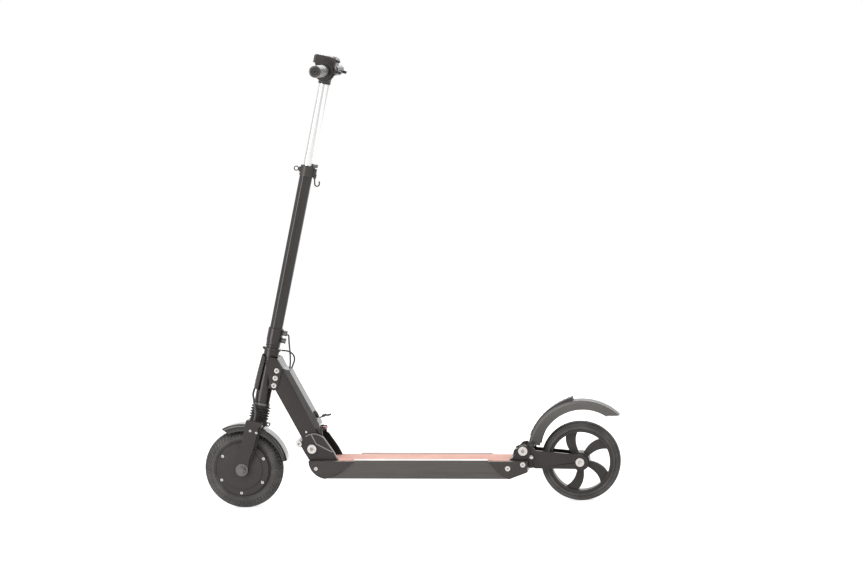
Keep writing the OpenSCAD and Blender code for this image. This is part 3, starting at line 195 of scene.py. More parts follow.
class ScooterSizes(bpy.types.PropertyGroup):
    """Sizes of the modelled details"""

    tread_slots: IntProperty(
        name="Tread slots", description="Slots round the front tyre's shoulder", default=60, min=24, max=90,
    )
    tread_depth: FloatProperty(
        name="Tread depth", description="Height of the front tyre's blocks", default=1.6 * MM,
        min=0, max=3 * MM, unit="LENGTH", subtype="DISTANCE",
    )
    grip_ribs: IntProperty(
        name="Grip rings", description="Raised rings along a grip", default=10, min=4, max=16,
    )
    bellows_ribs: IntProperty(
        name="Bellows ribs", description="Folds of the fork bellows", default=5, min=3, max=7,
    )
    mat_rows: IntProperty(
        name="Mat rows", description="Rows of pads across the standing mat", default=18, min=8, max=26,
    )
    cable_d: FloatProperty(
        name="Cable diameter", description="Control cables at the stem's foot", default=4.2 * MM,
        min=3 * MM, max=5 * MM, unit="LENGTH", subtype="DISTANCE",
    )
    motor_lead_d: FloatProperty(
        name="Motor lead diameter", description="Lead from the headlight to the fork", default=5.6 * MM,
        min=4 * MM, max=7 * MM, unit="LENGTH", subtype="DISTANCE",
    )


# Finishes: every surface has procedural colour, roughness and relief


class Finish:
    """A material with a Principled shader and short calls for the nodes that the finishes share."""

    def __init__(self, name, metallic=0.0):
        self.material = bpy.data.materials.new(name)
        self.material.use_nodes = True
        self.tree = self.material.node_tree
        self.shader = self.tree.nodes["Principled BSDF"]
        self.shader.inputs["Metallic"].default_value = metallic
        self.coords = self.tree.nodes.new("ShaderNodeTexCoord").outputs["Object"]

    def link(self, out, into):
        self.tree.links.new(out, into)

    def mapped(self, scale, tilt=0.0):
        """Object coordinates turned about Y, then scaled."""
        turned = self.tree.nodes.new("ShaderNodeMapping")
        turned.inputs["Rotation"].default_value = (0, tilt, 0)
        self.link(self.coords, turned.inputs["Vector"])
        scaled = self.tree.nodes.new("ShaderNodeMapping")
        scaled.inputs["Scale"].default_value = scale
        self.link(turned.outputs["Vector"], scaled.inputs["Vector"])
        return scaled.outputs["Vector"]

    def noise(self, scale, detail=3.0, vector=None):
        node = self.tree.nodes.new("ShaderNodeTexNoise")
        node.inputs["Scale"].default_value = scale
        node.inputs["Detail"].default_value = detail
        self.link(vector or self.coords, node.inputs["Vector"])
        return node.outputs["Fac"]

    def cells(self, scale):
        node = self.tree.nodes.new("ShaderNodeTexVoronoi")
        node.inputs["Scale"].default_value = scale
        self.link(self.coords, node.inputs["Vector"])
        return node.outputs["Distance"]

    def split(self, vector):
        """A vector's X, Y and Z."""
        node = self.tree.nodes.new("ShaderNodeSeparateXYZ")
        self.link(vector, node.inputs[0])
        return node.outputs

    def pointiness(self):
        """High on outer edges and low in corners."""
        return self.tree.nodes.new("ShaderNodeNewGeometry").outputs["Pointiness"]

    def ranged(self, out, low, high, start=0.32, end=0.68):
        node = self.tree.nodes.new("ShaderNodeMapRange")
        node.inputs["From Min"].default_value = start
        node.inputs["From Max"].default_value = end
        node.inputs["To Min"].default_value = low
        node.inputs["To Max"].default_value = high
        self.link(out, node.inputs["Value"])
        return node.outputs["Result"]

    def mixed(self, factor, first, second):
        """Colour that goes from first to second with the factor; either may be a socket."""
        node = self.tree.nodes.new("ShaderNodeMix")
        node.data_type = "RGBA"
        self.link(factor, node.inputs[0])
        for socket, colour in ((node.inputs[6], first), (node.inputs[7], second)):
            if isinstance(colour, bpy.types.NodeSocket):
                self.link(colour, socket)
            else:
                socket.default_value = (*colour, 1)
        return node.outputs[2]

    def relief(self, out, depth):
        node = self.tree.nodes.new("ShaderNodeBump")
        node.inputs["Distance"].default_value = depth
        node.inputs["Strength"].default_value = 1.0
        self.link(out, node.inputs["Height"])
        self.link(node.outputs["Normal"], self.shader.inputs["Normal"])

    def paint(self, colour):
        self.link(colour, self.shader.inputs["Base Color"])

    def rough(self, out):
        self.link(out, self.shader.inputs["Roughness"])

    def worn(self, colour, bare, amount):
        """Lighten the sharp edges, where handling rubs the coat thin."""
        edge = self.ranged(self.pointiness(), 0, amount, start=0.53, end=0.62)
        return self.mixed(edge, colour, bare)


def shade(colour, factor):
    return tuple(min(1.0, c * factor) for c in colour)


# Streaks of worked metal: noise detail, and where they go from dull to bright
STREAK_DETAIL = 6
STREAK_SPREAD = (0.3, 0.7)

# Shares of a moulding's colour on worn edges and in painted shade low down, and its clear lacquer
RUBBED_SHARE = 4
LOW_SHADE_SHARE = 0.45
LACQUER_ROUGH = 0.06
LACQUER_IOR = 1.2

# Heights in metres between which the painted shade low on the rear mudguard fades
GUARD_SHADE_HEIGHTS = (0.14, 0.25)


def moulded(name, colour, rough, grain, depth, wear=0.25, lacquer=0.0, shine=0.32, low_shade=None):
    """Coated or moulded surface: mottled colour, uneven gloss, fine grain and worn edges.

    Painted shade darkens it below the first of two heights in metres, and is gone above the second.
    """
    mottle, gloss_spread = 0.14, 0.07
    finish = Finish(name)
    patches = finish.ranged(finish.noise(scale=11, detail=5), 0, 1)
    body = finish.mixed(patches, shade(colour, 1 - mottle), shade(colour, 1 + mottle))
    if wear:
        body = finish.worn(body, shade(colour, RUBBED_SHARE), wear)
    # Painted shade: darker towards the bottom, where less of the light from above falls
    if low_shade:
        height = finish.split(finish.coords)["Z"]
        body = finish.mixed(finish.ranged(height, 0, 1, *low_shade), shade(colour, LOW_SHADE_SHARE), body)
    finish.paint(body)
    gloss = finish.noise(scale=55, detail=4)
    finish.rough(finish.ranged(gloss, rough - gloss_spread, rough + gloss_spread))
    finish.relief(finish.noise(grain, detail=2), depth)
    finish.shader.inputs["Specular IOR Level"].default_value = shine
    if lacquer:
        finish.shader.inputs["Coat Weight"].default_value = lacquer
        finish.shader.inputs["Coat Roughness"].default_value = LACQUER_ROUGH
        finish.shader.inputs["Coat IOR"].default_value = LACQUER_IOR
    return finish.material


def brushed(name, colour, rough, streak_scale, metallic=1.0, contrast=0.1):
    """Drawn or brushed metal: its noise is scaled less along the streaks than across them."""
    finish = Finish(name, metallic)
    streaks = finish.noise(1, STREAK_DETAIL, finish.mapped(streak_scale))
    tone = finish.ranged(streaks, 0, 1, *STREAK_SPREAD)
    finish.paint(finish.mixed(tone, shade(colour, 1 - contrast), shade(colour, 1 + contrast)))
    finish.rough(finish.ranged(streaks, rough - 0.06, rough + 0.08))
    finish.relief(streaks, 0.04 * MM)
    return finish.material


def plated_steel(name, colour):
    """Plated bolts: turned faces, and painted shade down in the sockets."""
    finish = Finish(name, 1.0)
    # Painted shade: corners and sockets, where pointiness is low, are darkened
    socket_shade = finish.ranged(finish.pointiness(), 1, 0, start=0.42, end=0.495)
    streaks = finish.noise(1, STREAK_DETAIL, finish.mapped((400, 60, 400)))
    tone = finish.ranged(streaks, 0, 1, *STREAK_SPREAD)
    bright = finish.mixed(tone, shade(colour, 0.85), shade(colour, 1.15))
    finish.paint(finish.mixed(socket_shade, bright, shade(colour, 0.12)))
    finish.rough(finish.ranged(streaks, 0.22, 0.36))
    finish.relief(streaks, 0.04 * MM)
    return finish.material


def tube_with_painted_reflections(name, colour, middle, radius, tilt):
    """Drawn tube: fine streaks along it, and painted reflections across it, broad duller stripes between
    bright ones and painted shade at its edges.
    """
    finish = Finish(name, 1.0)
    streaks = finish.noise(1, STREAK_DETAIL, finish.mapped((1200, 1200, 10), tilt))
    place_across = finish.split(finish.mapped((1, 1, 1), tilt))["X"]
    across = finish.ranged(place_across, 0, 1, middle - radius, middle + radius)
    # Painted reflections and edge shade, laid across the tube as it is seen from the camera's side
    reflection_ramp = finish.tree.nodes.new("ShaderNodeValToRGB")
    stops = reflection_ramp.color_ramp.elements
    for stop, tone in zip(stops, TUBE_REFLECTION_EDGES):
        stop.color = (*shade(colour, tone), 1)
    for at, tone in TUBE_REFLECTION_BANDS.items():
        stops.new(at).color = (*shade(colour, tone), 1)
    finish.link(across, reflection_ramp.inputs["Fac"])
    dulled = finish.ranged(streaks, 0, 0.3)
    finish.paint(finish.mixed(dulled, reflection_ramp.outputs["Color"], shade(colour, 0.9)))
    finish.rough(finish.ranged(streaks, 0.2, 0.32))
    finish.relief(streaks, 0.03 * MM)
    return finish.material


def dusty_rubber(name, colour, rough, dust, grain, depth):
    """Rubber with a dry bloom of dust and a pebbled skin."""
    finish = Finish(name)
    bloom = finish.ranged(finish.noise(scale=23, detail=6), 0, dust, start=0.42, end=0.72)
    patches = finish.ranged(finish.noise(scale=6), 0, 1)
    tone = finish.mixed(patches, shade(colour, 0.85), shade(colour, 1.15))
    finish.paint(finish.mixed(bloom, tone, DRY_DUST))
    finish.rough(finish.ranged(finish.noise(scale=80), rough - 0.08, rough + 0.08))
    finish.relief(finish.noise(grain, detail=2), depth)
    finish.shader.inputs["Sheen Weight"].default_value = 0.06
    finish.shader.inputs["Sheen Roughness"].default_value = 0.5
    return finish.material


def standing_rubber(name, colour):
    """Salmon mat rubber: speckled, slightly bleached where shoes rub."""
    finish = Finish(name)
    bleached = finish.ranged(finish.noise(scale=7, detail=5), 0, 0.55, start=0.4, end=0.7)
    tone = finish.mixed(bleached, colour, BLEACHED_MAT)
    specks = finish.ranged(finish.noise(scale=900, detail=2), 0, 0.3, start=0.55, end=0.75)
    finish.paint(finish.mixed(specks, tone, shade(colour, 0.7)))
    finish.rough(finish.ranged(finish.noise(scale=120), 0.55, 0.75))
    finish.relief(finish.noise(scale=1500), 0.15 * MM)
    return finish.material


def clear_lens(name):
    """Ribbed lamp lens over a bright reflector."""
    finish = Finish(name)
    ribs = finish.cells(scale=160)
    hollow = finish.ranged(ribs, 0, 1, start=0.1, end=0.6)
    finish.paint(finish.mixed(hollow, (0.92, 0.93, 0.95), (0.55, 0.57, 0.6)))
    finish.relief(ribs, 0.4 * MM)
    finish.shader.inputs["Roughness"].default_value = 0.08
    finish.shader.inputs["Coat Weight"].default_value = 1.0
    return finish.material


def dark_screen(name):
    """Grey display panel behind a hard clear window."""
    finish = Finish(name)
    haze = finish.ranged(finish.noise(scale=60, detail=4), 0, 1)
    finish.paint(finish.mixed(haze, (0.2, 0.21, 0.2), (0.25, 0.26, 0.25)))
    finish.rough(finish.ranged(finish.noise(scale=240, detail=2), 0.08, 0.16))
    finish.shader.inputs["Coat Weight"].default_value = 1.0
    finish.shader.inputs["Coat Roughness"].default_value = 0.03
    return finish.material


FINISHES = {}


def mix_finishes():
    """Make every finish once, from the scene's colours."""
    colours = bpy.context.scene.scooter_colours
    tone = {key: tuple(getattr(colours, key)) for key in colours.__annotations__}
    stem = math.radians(STEER_TILT)
    axis = Matrix.Rotation(stem, 3, "Y") @ place(STEER, (0, 0, CONSOLE_TOP))
    # Coats and mouldings have roughness, grain and grain depth after the colour
    FINISHES.update(
        paint=moulded("satin_paint", tone["paint"], 0.3, 1400, 0.04 * MM, lacquer=1.0, shine=0.2),
        # Painted shade for recesses: the frame paint at half its colour
        recess=moulded(
            "recess_paint", shade(tone["paint"], 0.5), 0.5, 1400, 0.04 * MM, wear=0.0, shine=0.2,
        ),
        # Painted highlight on the hinge cheeks' rim
        rubbed=moulded("rubbed_paint", RIM_HIGHLIGHT, 0.3, 900, 0.04 * MM, wear=0.0),
        # Painted highlight on the deck lip's rounded top
        worn_edge=moulded("worn_edge", LIP_HIGHLIGHT, 0.35, 900, 0.04 * MM, wear=0.0),
        tube_paint=moulded(
            "tube_paint", shade(tone["plastic"], 0.55), 0.24, 1600, 0.03 * MM, lacquer=0.6, shine=0.3,
        ),
        plastic=moulded("grained_plastic", tone["plastic"], 0.3, 2400, 0.1 * MM, wear=0.15),
        gloss=moulded("gloss_plastic", tone["gloss"], 0.16, 500, 0.03 * MM, wear=0.1, lacquer=1.0),
        # The rear mudguard gets painted shade low down
        guard=moulded("guard_plastic", tone["guard"], 0.3, 1800, 0.08 * MM, wear=0.2, low_shade=GUARD_SHADE_HEIGHTS),
        deck=brushed("deck_anodised", tone["deck"], 0.34, (14, 900, 900), metallic=0.35, contrast=0.16),
        hub=moulded("hub_paint", shade(tone["plastic"], 0.9), 0.32, 1100, 0.06 * MM, shine=0.28),
        tyre=dusty_rubber("tyre_rubber", tone["tyre"], 0.6, 0.2, 2600, 0.12 * MM),
        rubber=dusty_rubber("soft_rubber", tone["rubber"], 0.5, 0.12, 3000, 0.06 * MM),
        grip=dusty_rubber("grip_rubber", shade(tone["tyre"], 1.2), 0.2, 0.15, 3000, 0.02 * MM),
        mat=standing_rubber("mat_rubber", tone["mat"]),
        red=moulded("red_enamel", tone["red"], 0.35, 900, 0.04 * MM, wear=0.1),
        # The inner tube's finish paints reflections and edge shade across it
        bare=tube_with_painted_reflections("bare_aluminium", tone["bare"], axis.x, TUBE_R * MM, stem),
        plated=plated_steel("plated_steel", tone["plated"]),
        steel=brushed("dark_steel", tone["steel"], 0.4, (500, 90, 500), metallic=0.8),
        lens=clear_lens("lamp_lens"),
        screen=dark_screen("display_screen"),
        cells=moulded("cell_wrap", CELL_WRAP, 0.35, 700, 0.1 * MM, wear=0.0),
        board=moulded("potting", POTTING, 0.5, 900, 0.1 * MM, wear=0.0),
        copper=brushed("copper_winding", COPPER, 0.35, (300, 1500, 300)),
    )


# Modelling helpers

# Points that are merged as doubles, in metres, and the same for a CAD node's loose triangles
DOUBLE_WITHIN = 1e-6
LOOSE_WITHIN = 0.05 * MM
# Degrees past which an edge is sharp, and within which faces count as flat
SHARP_ANGLE = 32
FLAT_ANGLE = 0.6


def deselect():
    """Leave edit mode with nothing selected."""
    if bpy.context.mode != "OBJECT":
        bpy.ops.object.mode_set(mode="OBJECT")
    bpy.ops.object.select_all(action="DESELECT")


def activate(piece):
    deselect()
    piece.select_set(True)
    bpy.context.view_layer.objects.active = piece


def edit(piece):
    activate(piece)
    bpy.ops.object.mode_set(mode="EDIT")
    bpy.ops.mesh.select_mode(type="FACE")


def leave():
    bpy.ops.object.mode_set(mode="OBJECT")


def pick_faces(piece, test):
    """In edit mode, select the faces whose centre and normal pass the test."""
    mesh = bmesh.from_edit_mesh(piece.data)
    for face in mesh.faces:
        face.select_set(False)
    for face in mesh.faces:
        if test(face.calc_center_median(), face.normal):
            face.select_set(True)
    bmesh.update_edit_mesh(piece.data)


def pick_points(piece, test):
    """In edit mode, select the points that pass the test."""
    mesh = bmesh.from_edit_mesh(piece.data)
    for point in mesh.verts:
        point.select_set(bool(test(point.co)))
    mesh.select_flush_mode()
    bmesh.update_edit_mesh(piece.data)


def outward(piece):
    """Merge what doubles and point every face outwards."""
    edit(piece)
    bpy.ops.mesh.select_all(action="SELECT")
    bpy.ops.mesh.remove_doubles(threshold=DOUBLE_WITHIN)
    bpy.ops.mesh.normals_make_consistent(inside=False)
    leave()


def smooth(piece, degrees=SHARP_ANGLE):
    """Shade smooth, with edges sharper than this left hard."""
    activate(piece)
    bpy.ops.object.shade_smooth_by_angle(angle=math.radians(degrees))


def apply_modifier(piece, kind, **settings):
    activate(piece)
    modifier = piece.modifiers.new(kind.lower(), kind)
    for key, value in settings.items():
        setattr(modifier, key, value)
    bpy.ops.object.modifier_apply(modifier=modifier.name)


def turned(name, profile, steps):
    """Turn a profile of radius and height, in millimetres, about Z into one closed skin."""
    deselect()
    bpy.ops.mesh.primitive_plane_add(size=0.01)
    piece = bpy.context.object
    piece.name = name
    bpy.ops.object.mode_set(mode="EDIT")
    bpy.ops.mesh.select_mode(type="VERT")
    bpy.ops.mesh.select_all(action="SELECT")
    bpy.ops.mesh.merge(type="CENTER")
    points = [Vector((r * MM, 0, h * MM)) for r, h in profile]
    bpy.ops.transform.translate(value=points[0])
    for before, after in zip(points, points[1:]):
        bpy.ops.mesh.extrude_region_move(TRANSFORM_OT_translate={"value": after - before})
    bpy.ops.mesh.select_all(action="SELECT")
    bpy.ops.mesh.spin(steps=steps, angle=FULL_TURN, center=(0, 0, 0), axis=(0, 0, 1))
    leave()
    outward(piece)
    return piece


def lay(piece, matrix):
    """Put a piece drawn at the origin where it belongs, and apply that to its mesh."""
    activate(piece)
    piece.matrix_world = matrix
    bpy.ops.object.transform_apply(location=True, rotation=True, scale=True)


def stretch(piece, x, y, z):
    """Size a unit primitive in millimetres."""
    activate(piece)
    bpy.ops.transform.resize(value=(x * MM, y * MM, z * MM))
    bpy.ops.object.transform_apply(location=False, rotation=False, scale=True)


def finished(piece, body, slot, *nodes):
    """Hang a piece on its body, in place of the CAD nodes that it stands for."""
    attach(piece, body)
    if nodes:
        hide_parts(*nodes)


def coat(piece, *finishes):
    """Give a piece its finishes, one material slot each."""
    piece.data.materials.clear()
    for name in finishes:
        piece.data.materials.append(FINISHES[name])


def edged_copy(node, finish, width, *others):
    """Copy a CAD node, merge its loose triangles and round its edges; others paint the faces they pick."""
    source = frame["nodes"][node]
    deselect()
    piece = bpy.data.objects.new(node + "_edged", source.data.copy())
    bpy.context.scene.collection.objects.link(piece)
    edit(piece)
    bpy.ops.mesh.select_all(action="SELECT")
    bpy.ops.mesh.remove_doubles(threshold=LOOSE_WITHIN)
    bpy.ops.mesh.beautify_fill(angle_limit=math.radians(FLAT_ANGLE))
    leave()
    apply_modifier(
        piece, "BEVEL", width=width * MM, segments=2, limit_method="ANGLE",
        angle_limit=math.radians(SHARP_ANGLE), use_clamp_overlap=False, miter_outer="MITER_ARC",
    )
    smooth(piece)
    apply_modifier(piece, "WEIGHTED_NORMAL", keep_sharp=True, weight=100)
    coat(piece, finish, *(other for other, test in others))
    for face in piece.data.polygons:
        for index, (other, test) in enumerate(others, 1):
            if test(face.center):
                face.material_index = index
    slots = {row["node"]: row["material_slot"] for row in frame["record"]["subparts"]}
    finished(piece, source["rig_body"], slots[node], node)


def off_axle(matrix, point):
    """Distance from an axle along Y, and distance from the mid plane, in millimetres."""
    local = matrix.inverted() @ point
    return math.hypot(local.x, local.z) / MM, abs(local.y) / MM


# Where a node's second finish starts, in millimetres: from an axle, from the mid plane, or up the deck
COVER_SCREWS_R = 54
COVER_FACE_Y = 29.6
AXLE_NUT_R = 30
LEG_STEP_Y = 41.8
LEG_STEP_WITHIN = 0.3
DECK_LIP_Z = 128.8
HINGE_RIM_Y = 51.4
REAR_SCREW_Y = 47.6
LEVER_PAD_Y = 12.8


def on_cover_screw(point):
    radius, side = off_axle(FRONT_AXLE, point)
    return radius > COVER_SCREWS_R and side > COVER_FACE_Y


def off_front_axle(point):
    return off_axle(FRONT_AXLE, point)[0] > AXLE_NUT_R


def beyond(side):
    """Test for faces further than this many millimetres from the mid plane."""
    return lambda point: abs(point.y) > side * MM


def on_leg_step(point):
    return abs(abs(point.y) / MM - LEG_STEP_Y) < LEG_STEP_WITHIN


def on_deck_lip(point):
    return (STAND.inverted() @ point).z > DECK_LIP_Z * MM


# Node, finish, edge rounding in millimetres, then other finishes with the test for their faces
EDGED_NODES = [
    # The deck lip's rounded top is painted light as a highlight
    ("deck_shell", "deck", 0.35, ("worn_edge", on_deck_lip)),
    ("front_end_cap", "plastic", 0.5),
    ("rear_end_cap", "plastic", 0.4),
    ("deck_screws", "plated", 0.25),
    # The hinge cheeks' rim is painted light as a highlight
    ("hinge_bracket", "paint", 0.3, ("rubbed", beyond(HINGE_RIM_Y))),
    ("pivot_bolts", "plated", 0.5),
    ("rear_bracket", "paint", 0.35, ("plated", beyond(REAR_SCREW_Y))),
    ("stem_box", "paint", 0.5),
    ("head_tube", "paint", 0.4),
    ("head_plates", "paint", 0.4),
    ("head_bolts", "plated", 0.25),
    ("headlight_housing", "plastic", 0.4),
    ("headlight_lens", "lens", 0.4),
    ("charge_socket", "plastic", 0.3),
    ("release_lever", "red", 0.25, ("paint", beyond(LEVER_PAD_Y))),
    ("charge_cap", "rubber", 0.3),
    ("stem_sleeve", "paint", 0.3),
    ("stem_bolts", "steel", 0.2),
    ("outer_tube", "tube_paint", 0.25),
    ("stem_collar", "plastic", 0.3),
    ("height_pin", "paint", 0.25),
    ("bag_hook", "paint", 0.2),
    ("console", "plastic", 0.3),
    ("left_bar", "plastic", 0.3),
    ("right_bar", "plastic", 0.3),
    ("throttle_lever", "plastic", 0.4),
    ("brake_lever", "plastic", 0.4),
    ("power_button", "rubber", 0.3),
    ("horn_button", "plastic", 0.3),
    # The fork leg's sunk band gets painted shade
    ("fork", "paint", 0.35, ("recess", on_leg_step)),
    ("front_fender", "gloss", 0.4),
    ("motor_axle", "steel", 0.4),
    ("fork_fasteners", "steel", 0.2, ("plated", off_front_axle)),
    ("hub_shell", "hub", 0.4),
    ("hub_covers", "hub", 0.3, ("plated", on_cover_screw)),
    ("rear_rim", "hub", 0.7),
    ("rear_axle", "plated", 0.4),
    ("swing_arm", "paint", 0.35),
    ("rear_fender", "guard", 0.4),
    ("fender_pad", "rubber", 0.3),
]
PLAIN_NODES = {
    "battery_pack": "cells",
    "controller": "board",
    "headset_bearings": "steel",
    "steerer_tube": "steel",
    "stanchion": "plated",
    "stator": "copper",
    "motor_bearings": "steel",
    "rear_bearings": "steel",
    "inner_tube": "bare",
}


class SCOOTER_OT_frame(bpy.types.Operator):
    """Round the edges of the frame's parts and give every part its finish"""

    bl_idname = "scooter.frame"
    bl_label = "Frame and fittings"

    def execute(self, context):
        mix_finishes()
        for row in EDGED_NODES:
            edged_copy(*row)
        for node, finish in PLAIN_NODES.items():
            coat(frame["nodes"][node], finish)
        return {"FINISHED"}


def tyre_ring(name, major, minor, around, rows, seat_r):
    """Tyre turned from a round section, flat where it sits on the rim."""
    profile = []
    for i in range(rows + 1):
        a = FULL_TURN * (i % rows) / rows
        profile.append((max(seat_r, major + minor * math.cos(a)), minor * math.sin(a)))
    return turned(name, profile, around)


def section_angle(point, major):
    """Angle of a point round the tyre's section, in degrees; 0 on the crown."""
    radius = math.hypot(point.x, point.y)
    return abs(math.degrees(math.atan2(point.z, radius - major * MM)))


class SCOOTER_OT_front_tyre(bpy.types.Operator):
    """Fat front tyre with a rib, two rows of blocks and slanted shoulder slots"""

    bl_idname = "scooter.front_tyre"
    bl_label = "Front tyre"

    def execute(self, context):
        sizes = context.scene.scooter_sizes
        depth = sizes.tread_depth
        major, section, seat_r = 76, 24, 68.05
        around = sizes.tread_slots * 3
        rows = 48
        row_within = 1.5
        slant_rate, slant_end = 0.16, 70
        rib, inner, outer = (0, 15), (22.5, 37.5), (45, 75)
        side_lines = ((90, 97.5), (112.5, 120))
        piece = tyre_ring("front_tyre_tread", major, section - depth / MM, around, rows, seat_r)
        step = FULL_TURN / around

        def slant(angle):
            return math.radians(slant_rate * min(angle, slant_end))

        def within(angle, band):
            return band[0] < angle < band[1]

        edit(piece)
        bpy.ops.mesh.select_mode(type="VERT")
        for row in range(1, rows // 2 + 1):
            level = row * 360 / rows
            pick_points(piece, lambda p: abs(section_angle(p, major) - level) < row_within)
            bpy.ops.transform.rotate(value=-slant(level), orient_axis="Z", center_override=(0, 0, 0))
        bpy.ops.mesh.select_mode(type="FACE")

        def on_block(point, normal):
            angle = section_angle(point, major)
            around_by = math.atan2(point.y, point.x) - slant(angle)
            part = int((around_by % FULL_TURN) / step) % 3
            return (
                within(angle, rib)
                or within(angle, inner) and part != 0
                or within(angle, outer) and part != 1
            )

        pick_faces(piece, on_block)
        bpy.ops.mesh.inset(thickness=0.7 * MM, depth=depth, use_even_offset=True)
        for line in side_lines:
            pick_faces(piece, lambda p, n: within(section_angle(p, major), line))
            bpy.ops.mesh.inset(thickness=0.5 * MM, depth=0.7 * MM, use_even_offset=True)
        leave()
        outward(piece)
        lay(piece, FRONT_AXLE @ ALONG_LEFT)
        smooth(piece, degrees=28)
        coat(piece, "tyre")
        finished(piece, "front_wheel", "tyre", "front_tyre")
        return {"FINISHED"}


class SCOOTER_OT_rear_tyre(bpy.types.Operator):
    """Solid rear tyre with shallow grooves and a bead line"""

    bl_idname = "scooter.rear_tyre"
    bl_label = "Rear tyre"

    def execute(self, context):
        major, section, seat_r = 78, 22, 81.05
        grooves = ((0, 7.5), (30, 37.5), (60, 67.5))
        piece = tyre_ring("rear_tyre_solid", major, section, around=160, rows=48, seat_r=seat_r)
        edit(piece)
        for low, high in grooves:
            pick_faces(piece, lambda p, n: low < section_angle(p, major) < high)
            bpy.ops.mesh.inset(thickness=0.5 * MM, depth=-1.4 * MM, use_even_offset=True)
        leave()
        outward(piece)
        lay(piece, REAR_AXLE @ ALONG_LEFT)
        smooth(piece, degrees=28)
        coat(piece, "tyre")
        finished(piece, "rear_wheel", "tyre", "rear_tyre")
        return {"FINISHED"}


# A grip's end, as radius and depth below its face: sunk hole, ring groove, round edge and end collar
GRIP_END = [(0, 1.4), (2.6, 1.4), (2.9, 0), (6.6, 0), (6.9, 0.6), (7.9, 0.6), (8.2, 0), (12.6, 0),
            (14.2, 0.8), (15, 2.4), (15, 6)]
# Its flange, as radius and height above the grip's inner end
GRIP_FLANGE = [(15.4, 4.6), (16, 3.8), (16, 0.6), (15.4, 0)]


class SCOOTER_OT_grips(bpy.types.Operator):
    """Ringed rubber grips with a flange and a stepped end"""

    bl_idname = "scooter.grips"
    bl_label = "Grips"

    def execute(self, context):
        ribs = context.scene.scooter_sizes.grip_ribs
        inner, outer, bore = 91.3, 215, 11.05
        body_r, rib_h, slope = 14.5, 0.4, 0.8
        end_wall = 2.95
        hole_r, groove = 3, (6.4, 8.4)
        first, last = inner + 9, outer - 10
        pitch = (last - first) / ribs
        profile = [(r, outer - sunk) for r, sunk in GRIP_END] + [(body_r, outer - 7.2)]
        for i in range(ribs):
            high = last - i * pitch
            low = high - pitch * 0.62
            profile += [(body_r, high), (body_r + rib_h, high - slope), (body_r + rib_h, low),
                        (body_r, low - slope)]
        profile += [(body_r, inner + 6)] + [(r, inner + rise) for r, rise in GRIP_FLANGE]
        profile += [(bore, inner), (bore, outer - end_wall), (0, outer - end_wall)]
        model = turned("left_grip_rubber", profile, steps=56)
        edit(model)
        pick_faces(
            model, lambda p, n: math.hypot(p.x, p.y) > (body_r + rib_h * 0.8) * MM
            and first * MM < p.z < last * MM and abs(n.z) < 0.2,
        )
        bpy.ops.mesh.inset(thickness=0.3 * MM, depth=0.1 * MM, use_individual=True)
        leave()
        # Painted shade in the grip end's hole and ring groove
        coat(model, "grip", "recess")
        for face in model.data.polygons:
            radius = math.hypot(face.center.x, face.center.y) / MM
            end = face.center.z > (outer - 2) * MM
            face.material_index = int(end and (radius < hole_r or groove[0] < radius < groove[1]))
        copy = model.copy()
        copy.data = model.data.copy()
        copy.name = "right_grip_rubber"
        context.scene.collection.objects.link(copy)
        for piece, along, side in ((model, ALONG_LEFT, "left"), (copy, ALONG_RIGHT, "right")):
            lay(piece, STEER @ shift(0, 0, BAR_V) @ along)
            smooth(piece, degrees=30)
            finished(piece, side + "_handlebar", "rubber", side + "_grip")
        return {"FINISHED"}


class SCOOTER_OT_bellows(bpy.types.Operator):
    """Folded rubber bellows between the fork crown and the head tube"""

    bl_idname = "scooter.bellows"
    bl_label = "Bellows"

    def execute(self, context):
        ribs = context.scene.scooter_sizes.bellows_ribs
        foot_gap, head_gap, wall, roundness = 0.3, 5.3, 1.2, 0.75
        low, high = CROWN_TOP + foot_gap, HEAD_V - head_gap
        cuff, valley, crest = 3.2, 18.6, 25.4
        cuff_r, bead_r, lip = 21.2, 21.4, 0.8
        neck_r = valley + 0.6
        steps = 10
        fold = (high - low - 2 * cuff) / ribs
        profile = [(cuff_r, low), (bead_r, low + cuff - lip), (neck_r, low + cuff)]
        for i in range(1, ribs * steps):
            lift = 0.5 - 0.5 * math.cos(FULL_TURN * i / steps)
            profile.append((valley + (crest - valley) * lift ** roundness, low + cuff + fold * i / steps))
        profile += [(neck_r, high - cuff), (bead_r, high - cuff + lip), (cuff_r, high)]
        piece = turned("fork_bellows", profile, steps=72)
        apply_modifier(piece, "SOLIDIFY", thickness=wall * MM, offset=-1)
        lay(piece, STEER)
        smooth(piece, degrees=40)
        coat(piece, "rubber")
        finished(piece, "steering", "rubber", "bellows")
        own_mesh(piece)
        return {"FINISHED"}


def spline(points, steps):
    """The source's smooth path through chosen points."""
    points = [Vector(p) for p in points]
    path = []
    for i in range(len(points) - 1):
        a, b = points[max(i - 1, 0)], points[i]
        c, d = points[i + 1], points[min(i + 2, len(points) - 1)]
        for k in range(steps):
            t = k / steps
            path.append(
                0.5 * (2 * b + (c - a) * t + (2 * a - 5 * b + 4 * c - d) * t * t
                       + (3 * b - a - 3 * c + d) * t ** 3)
            )
    return path + [points[-1]]


def tube(name, path, diameter):
    """Round tube along a path of points in metres, as a mesh with closed ends."""
    deselect()
    curve = bpy.data.curves.new(name, "CURVE")
    curve.dimensions = "3D"
    curve.bevel_depth = diameter / 2
    curve.bevel_resolution = 4
    curve.use_fill_caps = True
    line = curve.splines.new("POLY")
    line.points.add(len(path) - 1)
    for point, at in zip(line.points, path):
        point.co = (*at, 1)
    piece = bpy.data.objects.new(name, curve)
    bpy.context.scene.collection.objects.link(piece)
    activate(piece)
    bpy.ops.object.convert(target="MESH")
    piece = bpy.context.object
    outward(piece)
    smooth(piece, degrees=40)
    return piece


